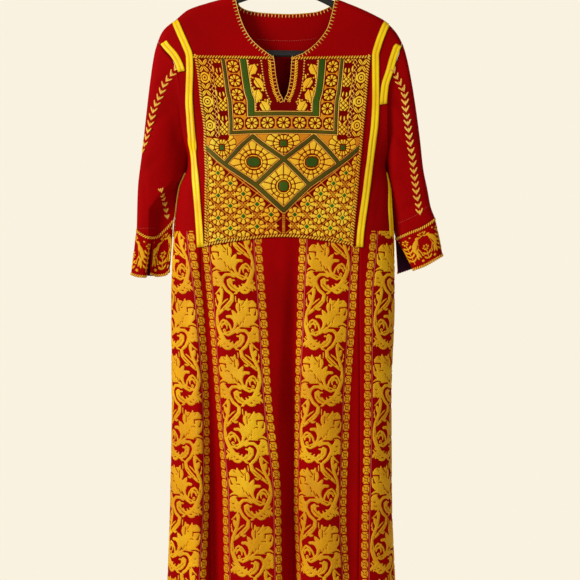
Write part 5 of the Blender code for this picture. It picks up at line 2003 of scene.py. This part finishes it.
def cuff_frieze(x, y):
    """Two birds face each other over a flower, with leafy sprays between the pairs."""
    x = x % FRIEZE
    fields = [bird(x, y, 9.6, 20.5, 1), bird(x, y, 24.4, 20.5, -1)]
    for cx, top in ((0, 11), (FRIEZE, 11), (FRIEZE_MIDDLE, 25)):
        fields.append(spray(x, y, cx, 39.5, top))
    fields.append(wedges(x, y, FRIEZE_MIDDLE, 8.2, 6, 0.4, 3.2, 0.4))
    for cx in (9.8, 24.2):
        fields.append(disc(x, y, cx, 39, 1.6))
        fields.append(disc(x, y, cx - 4, 7, 1.0))
        fields.append(disc(x, y, cx + 4, 7, 1.0))
    return np.minimum(any_of(*fields), np.minimum(y - CUFF_BORDER, CUFF_HEIGHT - CUFF_BORDER - y))


def finer(grid, rows, columns):
    """A grid read again with more rows, and columns at even lengths across."""
    width = grid.shape[1]
    down = np.linspace(0, len(grid) - 1, rows)
    tall = np.array([read_grid(grid, np.full(width, r), np.arange(width, dtype=float)) for r in down])
    arc = lengths_across(tall)[rows // 2]
    place = np.interp(np.linspace(0, 1, columns), arc / arc[-1], np.arange(width))
    return np.array([read_grid(tall, np.full(columns, float(r)), place) for r in range(rows)])


def dress_cuff(side):
    grid = CUFF_GRIDS[side]
    width = lengths_across(grid)[len(grid) // 2, -1]
    height = np.linalg.norm(grid[-1] - grid[0], axis=-1).mean()
    rows, columns = int(height / UNIT / CUFF_STEP), int(width / UNIT / CUFF_STEP)
    places = finer(grid, rows, columns)
    normals = grid_normals(places)
    across, down = np.meshgrid(np.arange(columns) * CUFF_STEP, np.linspace(0, CUFF_HEIGHT, rows))
    field = cuff_frieze(across + FRIEZE_START[side], down) * UNIT
    room = np.minimum(across, columns * CUFF_STEP - across) - CUFF_SIDE_BORDER
    on_face = places + normals * (CLOTH / 2 - CLOTH_SINK)
    thread_mesh(f"cuff_frieze_{side}", np.minimum(field, room * UNIT), on_face, normals, GOLD,
                CUFF_STEP * UNIT, 0.8, CUFF_EDGE)


for _, side in SIDES:
    dress_cuff(side)

# %% [markdown]
# ## One stitch, copied many times
# Ropes, blanket stitches and wheat-ear lines are all rows of single thick stitches. One stitch is shaped by
# hand from a small sphere, flattened below where it lies on the cloth, and then copied along a line as
# one joined mesh, each copy turned to its place.

# %% A single stitch
FLAT_BELOW = 0.35
bpy.ops.object.select_all(action="DESELECT")
bpy.ops.mesh.primitive_uv_sphere_add(segments=6, ring_count=4, radius=0.5, location=(0, 0, 0),
                                     rotation=(0, math.pi / 2, 0))
grain = bpy.context.object
grain.name = "stitch_pattern"
bpy.ops.object.transform_apply(location=False, rotation=True, scale=True)
bpy.ops.object.mode_set(mode="EDIT")
bpy.ops.mesh.select_all(action="DESELECT")
bpy.ops.object.mode_set(mode="OBJECT")
for vertex in grain.data.vertices:
    vertex.select = vertex.co.z < -0.01
bpy.ops.object.mode_set(mode="EDIT")
bpy.ops.transform.resize(value=(1, 1, FLAT_BELOW), center_override=(0, 0, 0))
bpy.ops.object.mode_set(mode="OBJECT")
GRAIN_POINTS = np.array([vertex.co for vertex in grain.data.vertices])
GRAIN_FACES = [tuple(face.vertices) for face in grain.data.polygons]
GRAIN_MAP = GRAIN_POINTS[:, :2] * 6.0
bpy.data.objects.remove(grain, do_unlink=True)
print("corners in one stitch:", len(GRAIN_POINTS))

# %% [markdown]
# ## Rows of stitches
# A mark is a place, a direction along the line and the cloth's normal. Marks are spaced evenly, turned and
# shifted, each gets a copy of the stitch, and all copies of a kind are sewn into one piece.

# %% Rows of stitches
DIRECTION_STEP = 1.5


def spaced(points, normals, spacing, start=0.0):
    """Places, directions and normals at even steps along a line."""
    length = run_lengths(points)
    at = np.arange(start, length[-1], spacing)

    def read(values, where):
        return np.stack([np.interp(where, length, values[:, i]) for i in range(3)], axis=-1)

    place = read(points, at)
    normal = read(normals, at)
    normal /= np.linalg.norm(normal, axis=-1, keepdims=True)
    run = read(points, at + DIRECTION_STEP) - read(points, at - DIRECTION_STEP)
    run -= normal * np.sum(run * normal, axis=-1, keepdims=True)
    run /= np.maximum(np.linalg.norm(run, axis=-1, keepdims=True), 1e-9)
    return place, run, normal


def turned(marks, degrees):
    """Marks turned about the cloth's normal."""
    place, run, normal = marks
    a = math.radians(degrees)
    return place, run * math.cos(a) + np.cross(normal, run) * math.sin(a), normal


def stitches(marks, length, width, height):
    """Corner places of copies of the stitch, one for each mark."""
    place, run, normal = marks
    side = np.cross(normal, run)
    corners = place[:, None]
    for i, (direction, size) in enumerate(((run, length), (side, width), (normal, height))):
        corners = corners + direction[:, None] * GRAIN_POINTS[None, :, i:i + 1] * size
    return corners


def sew(name, groups, finish):
    """One piece from several groups of stitches."""
    points = np.concatenate([group.reshape(-1, 3) for group in groups])
    count = len(points) // len(GRAIN_POINTS)
    size = len(GRAIN_POINTS)
    faces = []
    for i in range(count):
        faces.extend(tuple(v + i * size for v in face) for face in GRAIN_FACES)
    obj = mesh_object(name, points, faces, finish, np.tile(GRAIN_MAP, (count, 1)))
    keep_thread(obj, "stitches", count)


def shifted(marks, aside=0.0, up=0.0, ahead=0.0):
    """Marks moved sideways, off the cloth, or on along the line."""
    place, run, normal = marks
    return place + np.cross(normal, run) * aside + normal * up + run * ahead, run, normal


print("stitch tools ready")

# %% [markdown]
# ## Rope edges
# A rope of slanting stitches closes the chest panel on its two sides and its foot, and runs along the top up
# to the neck. The cuffs have a slightly finer rope at their upper and lower edges.

# %% Rope edges
ROPE_LEAN = 52

# Spacing, then length, width and height of one stitch
PANEL_ROPE_SPACING = 5.2
PANEL_ROPE = (7.8, 3.3, 3.0)
CUFF_ROPE_SPACING = 4.4
CUFF_ROPE = (7.4, 3.2, 2.6)

# The panel's edges: rows and columns of its net, and the side that the rope lies on
centre = PANEL_PLACES.shape[1] // 2
EDGE_LINES = (
    (slice(None), 0, 1), (slice(None, None, -1), -1, 1), (-1, slice(None), 1),
    (0, slice(None, centre - 2), -1), (0, slice(centre + 3, None), -1),
)

rope_groups = []
for rows, columns, side in EDGE_LINES:
    marks = spaced(PANEL_PLACES[rows, columns], PANEL_NORMALS[rows, columns], PANEL_ROPE_SPACING)
    marks = shifted(marks, aside=2.2 * side, up=0.6)
    rope_groups.append(stitches(turned(marks, ROPE_LEAN), *PANEL_ROPE))
sew("panel_rope", rope_groups, ROPE)

cuff_groups = []
for _, side in SIDES:
    grid = finer(CUFF_GRIDS[side], 40, 200)
    normals = grid_normals(grid)
    for row in (1, 38):
        marks = spaced(grid[row] + normals[row] * CLOTH / 2, normals[row], CUFF_ROPE_SPACING, 2.0)
        cuff_groups.append(stitches(turned(marks, ROPE_LEAN), *CUFF_ROPE))
sew("cuff_ropes", cuff_groups, ROPE)

# %% [markdown]
# ## Blanket stitch round the neck
# The neck and the slit are bound with blanket stitch: short bars that stand square to the edge, joined by a
# line that runs along it.

# %% Blanket stitch
BAR_SPACING = 6.6
BAR = (8.2, 2.0, 1.8)
LINE_SPACING = 5.0
LINE_STITCH = (6.4, 1.8, 1.8)
NECK_LIFT = CLOTH / 2 + 0.3
NECK_HALF_WIDTH = 97


def blanket(points, normals, inward, lift):
    """Bars that stand square to an edge, and the line that joins them."""
    marks = shifted(spaced(points, normals, BAR_SPACING, 2.0), aside=inward * BAR[0] * 0.5, up=lift)
    line = shifted(spaced(points, normals, LINE_SPACING), aside=inward * 0.8, up=lift)
    return [stitches(turned(marks, 90), *BAR), stitches(line, *LINE_STITCH)]


neck_groups = []
for grid_angle, grid_z, inward in ((left_angle, left_z, -1), (right_angle, right_z, 1)):
    above = FRONT_ROWS <= PANEL_TOP_ROW
    points = raised(grid_angle, grid_z, False)[above, 0]
    normals = body_normal(grid_angle, grid_z)[above, 0]
    neck_groups += blanket(points, normals, inward, NECK_LIFT)
    slit = (FRONT_ROWS >= PANEL_TOP_ROW) & (FRONT_ROWS <= SLIT_TIP_ROW)
    points = body_point(grid_angle, grid_z)[slit, 0]
    normals = body_normal(grid_angle, grid_z)[slit, 0]
    neck_groups += blanket(points, normals, inward, PANEL_FACE + 0.3)
back_normals = grid_normals(back_grid)
in_neck = np.abs(back_grid[0, :, 0]) < NECK_HALF_WIDTH
for face in (1, -1):
    neck_groups += blanket(back_grid[0][in_neck], back_normals[0][in_neck] * face, -face, NECK_LIFT)
sew("neck_blanket_stitch", neck_groups, CREAM_GOLD)

# %% [markdown]
# ## Wheat-ear lines and running stitches
# A wheat-ear line runs down each sleeve: pairs of leaning stitches that meet in a V. Fine pink running
# stitches show where hems and facings are sewn. Their places are read from the photograph and dropped on
# the cloth along the camera's rays.

# %% Wheat-ear lines

# Lines read from the photograph, in pixels across and down
WHEAT_LEFT = ((177, 67), (173, 73), (165, 83), (160, 96), (154, 109), (150, 125), (144, 148), (141.5, 158))
WHEAT_RIGHT = ((393, 71), (398, 80), (404.5, 92), (406, 110), (409, 134), (412.5, 159), (417, 197),
               (421, 219))
WHEAT_INNER_LEFT = ((161, 190), (165, 205), (168, 220))
RUNNING = {"left": ((138, 228.5), (155, 228)), "right": ((399, 223), (415, 216), (429, 205.5))}

# Lean in degrees, width and height of an ear's stitches; length, width and height of the others
EAR_LEAN = 32
EAR_WIDTH = 3.6
EAR_HEIGHT = 2.6
LINK_STITCH = (10.0, 3.0, 2.2)
RUNNING_SPACING = 4.2
RUNNING_STITCH = (2.8, 0.9, 0.9)
RUNNING_LIFT = CLOTH / 2 + 0.1
FACING_HALF_WIDTH = 66
FACING_HEIGHT = -190


def cloth_tree(grid):
    """A cloth's faces, sorted so that rays and nearest places are found quickly."""
    return BVHTree.FromPolygons(grid.reshape(-1, 3).tolist(), grid_faces(*grid.shape[:2]).tolist())


def dropped(tree, pixels):
    """Places and normals where the camera's rays through a line of pixels meet the cloth."""
    pixels = np.asarray(pixels, float)
    length = run_lengths(pixels)
    at = np.arange(0, length[-1])
    eye = Vector((CAMERA_AIM[0] / MM, -CAMERA_DISTANCE / MM, CAMERA_AIM[1] / MM))
    places, normals = [], []
    for px, py in zip(np.interp(at, length, pixels[:, 0]), np.interp(at, length, pixels[:, 1])):
        target = Vector((eye.x + (px - HALF_FRAME) * UNIT, 0, eye.z - (py - HALF_FRAME) * UNIT))
        place, normal, _, _ = tree.ray_cast(eye, target - eye)
        if place is not None:
            places.append(tuple(place))
            normals.append(tuple(normal if normal.y < 0 else -normal))
    return np.array(places), np.array(normals)


def wheat_ear(line, spacing=13.0, length=14.5):
    """Pairs of leaning stitches along a line, with a straight stitch between each pair and the next."""
    marks = shifted(spaced(*line, spacing, 4.0), up=CLOTH / 2 + 0.2)
    groups = []
    for lean in (-EAR_LEAN, EAR_LEAN):
        ear = shifted(turned(marks, 180 - lean), ahead=length * 0.42)
        groups.append(stitches(ear, length, EAR_WIDTH, EAR_HEIGHT))
    groups.append(stitches(shifted(marks, ahead=-3.0), *LINK_STITCH))
    return groups


def running_line(line):
    marks = shifted(spaced(*line, RUNNING_SPACING), up=RUNNING_LIFT)
    return stitches(marks, *RUNNING_STITCH)


sleeve_trees = {side: cloth_tree(SLEEVE_GRIDS[side]) for _, side in SIDES}
wheat = wheat_ear(dropped(sleeve_trees["left"], WHEAT_LEFT))
wheat += wheat_ear(dropped(sleeve_trees["right"], WHEAT_RIGHT))
wheat += wheat_ear(dropped(sleeve_trees["left"], WHEAT_INNER_LEFT), 12.0, 10.0)
sew("sleeve_wheat_ears", wheat, CREAM_GOLD)

running = [running_line(dropped(sleeve_trees[side], line)) for side, line in RUNNING.items()]
facing = back_grid[:, np.abs(back_grid[0, :, 0]) < FACING_HALF_WIDTH]
facing_row = int(np.argmin(np.abs(facing[:, facing.shape[1] // 2, 2] - FACING_HEIGHT)))
running.append(running_line((facing[facing_row], -grid_normals(facing)[facing_row])))
sew("running_stitches", running, PINK)

# %% [markdown]
# ## The hanger
# The hanger's frame is one black bar bent under the shoulders, and the hook is bright wire. Both plain nodes
# have the right shape, so they stay and only take their finishes.

# %% Hanger finishes
for node, finish in (("hanger_frame", PLASTIC), ("hanger_hook", STEEL)):
    obj = frame["nodes"][node]
    for slot in obj.material_slots:
        slot.material = finish
print("hanger finished")

# %% [markdown]
# ## The cuffs' lining
# Each cuff is lined in dark violet, which shows through its slit and from below. The wall's inner faces
# look towards the inside of the sleeve, so they are found by that and take the lining's finish.

# %% Cuff lining
INNER_FACE = -0.3


def line_cuff(side):
    cuff = PIECES[f"cuff_cloth_{side}"][0]
    cuff.data.materials.append(LINING)
    tree = cloth_tree(CUFF_GRIDS[side])
    count = 0
    for face in cuff.data.polygons:
        middle = face.center / MM
        nearest, normal, _, _ = tree.find_nearest(middle)
        if (middle - nearest).dot(normal) < INNER_FACE:
            face.material_index = 1
            count += 1
    print(cuff.name, "lined faces:", count)


for _, side in SIDES:
    line_cuff(side)

# %% [markdown]
# ## Counting the triangles
# Last, the triangles of every mesh that renders are counted and printed.

# %% Triangle count
triangles = 0
for obj in bpy.context.scene.objects:
    if obj.type == "MESH" and not obj.hide_render:
        obj.data.calc_loop_triangles()
        triangles += len(obj.data.loop_triangles)
print("triangles in view:", triangles)
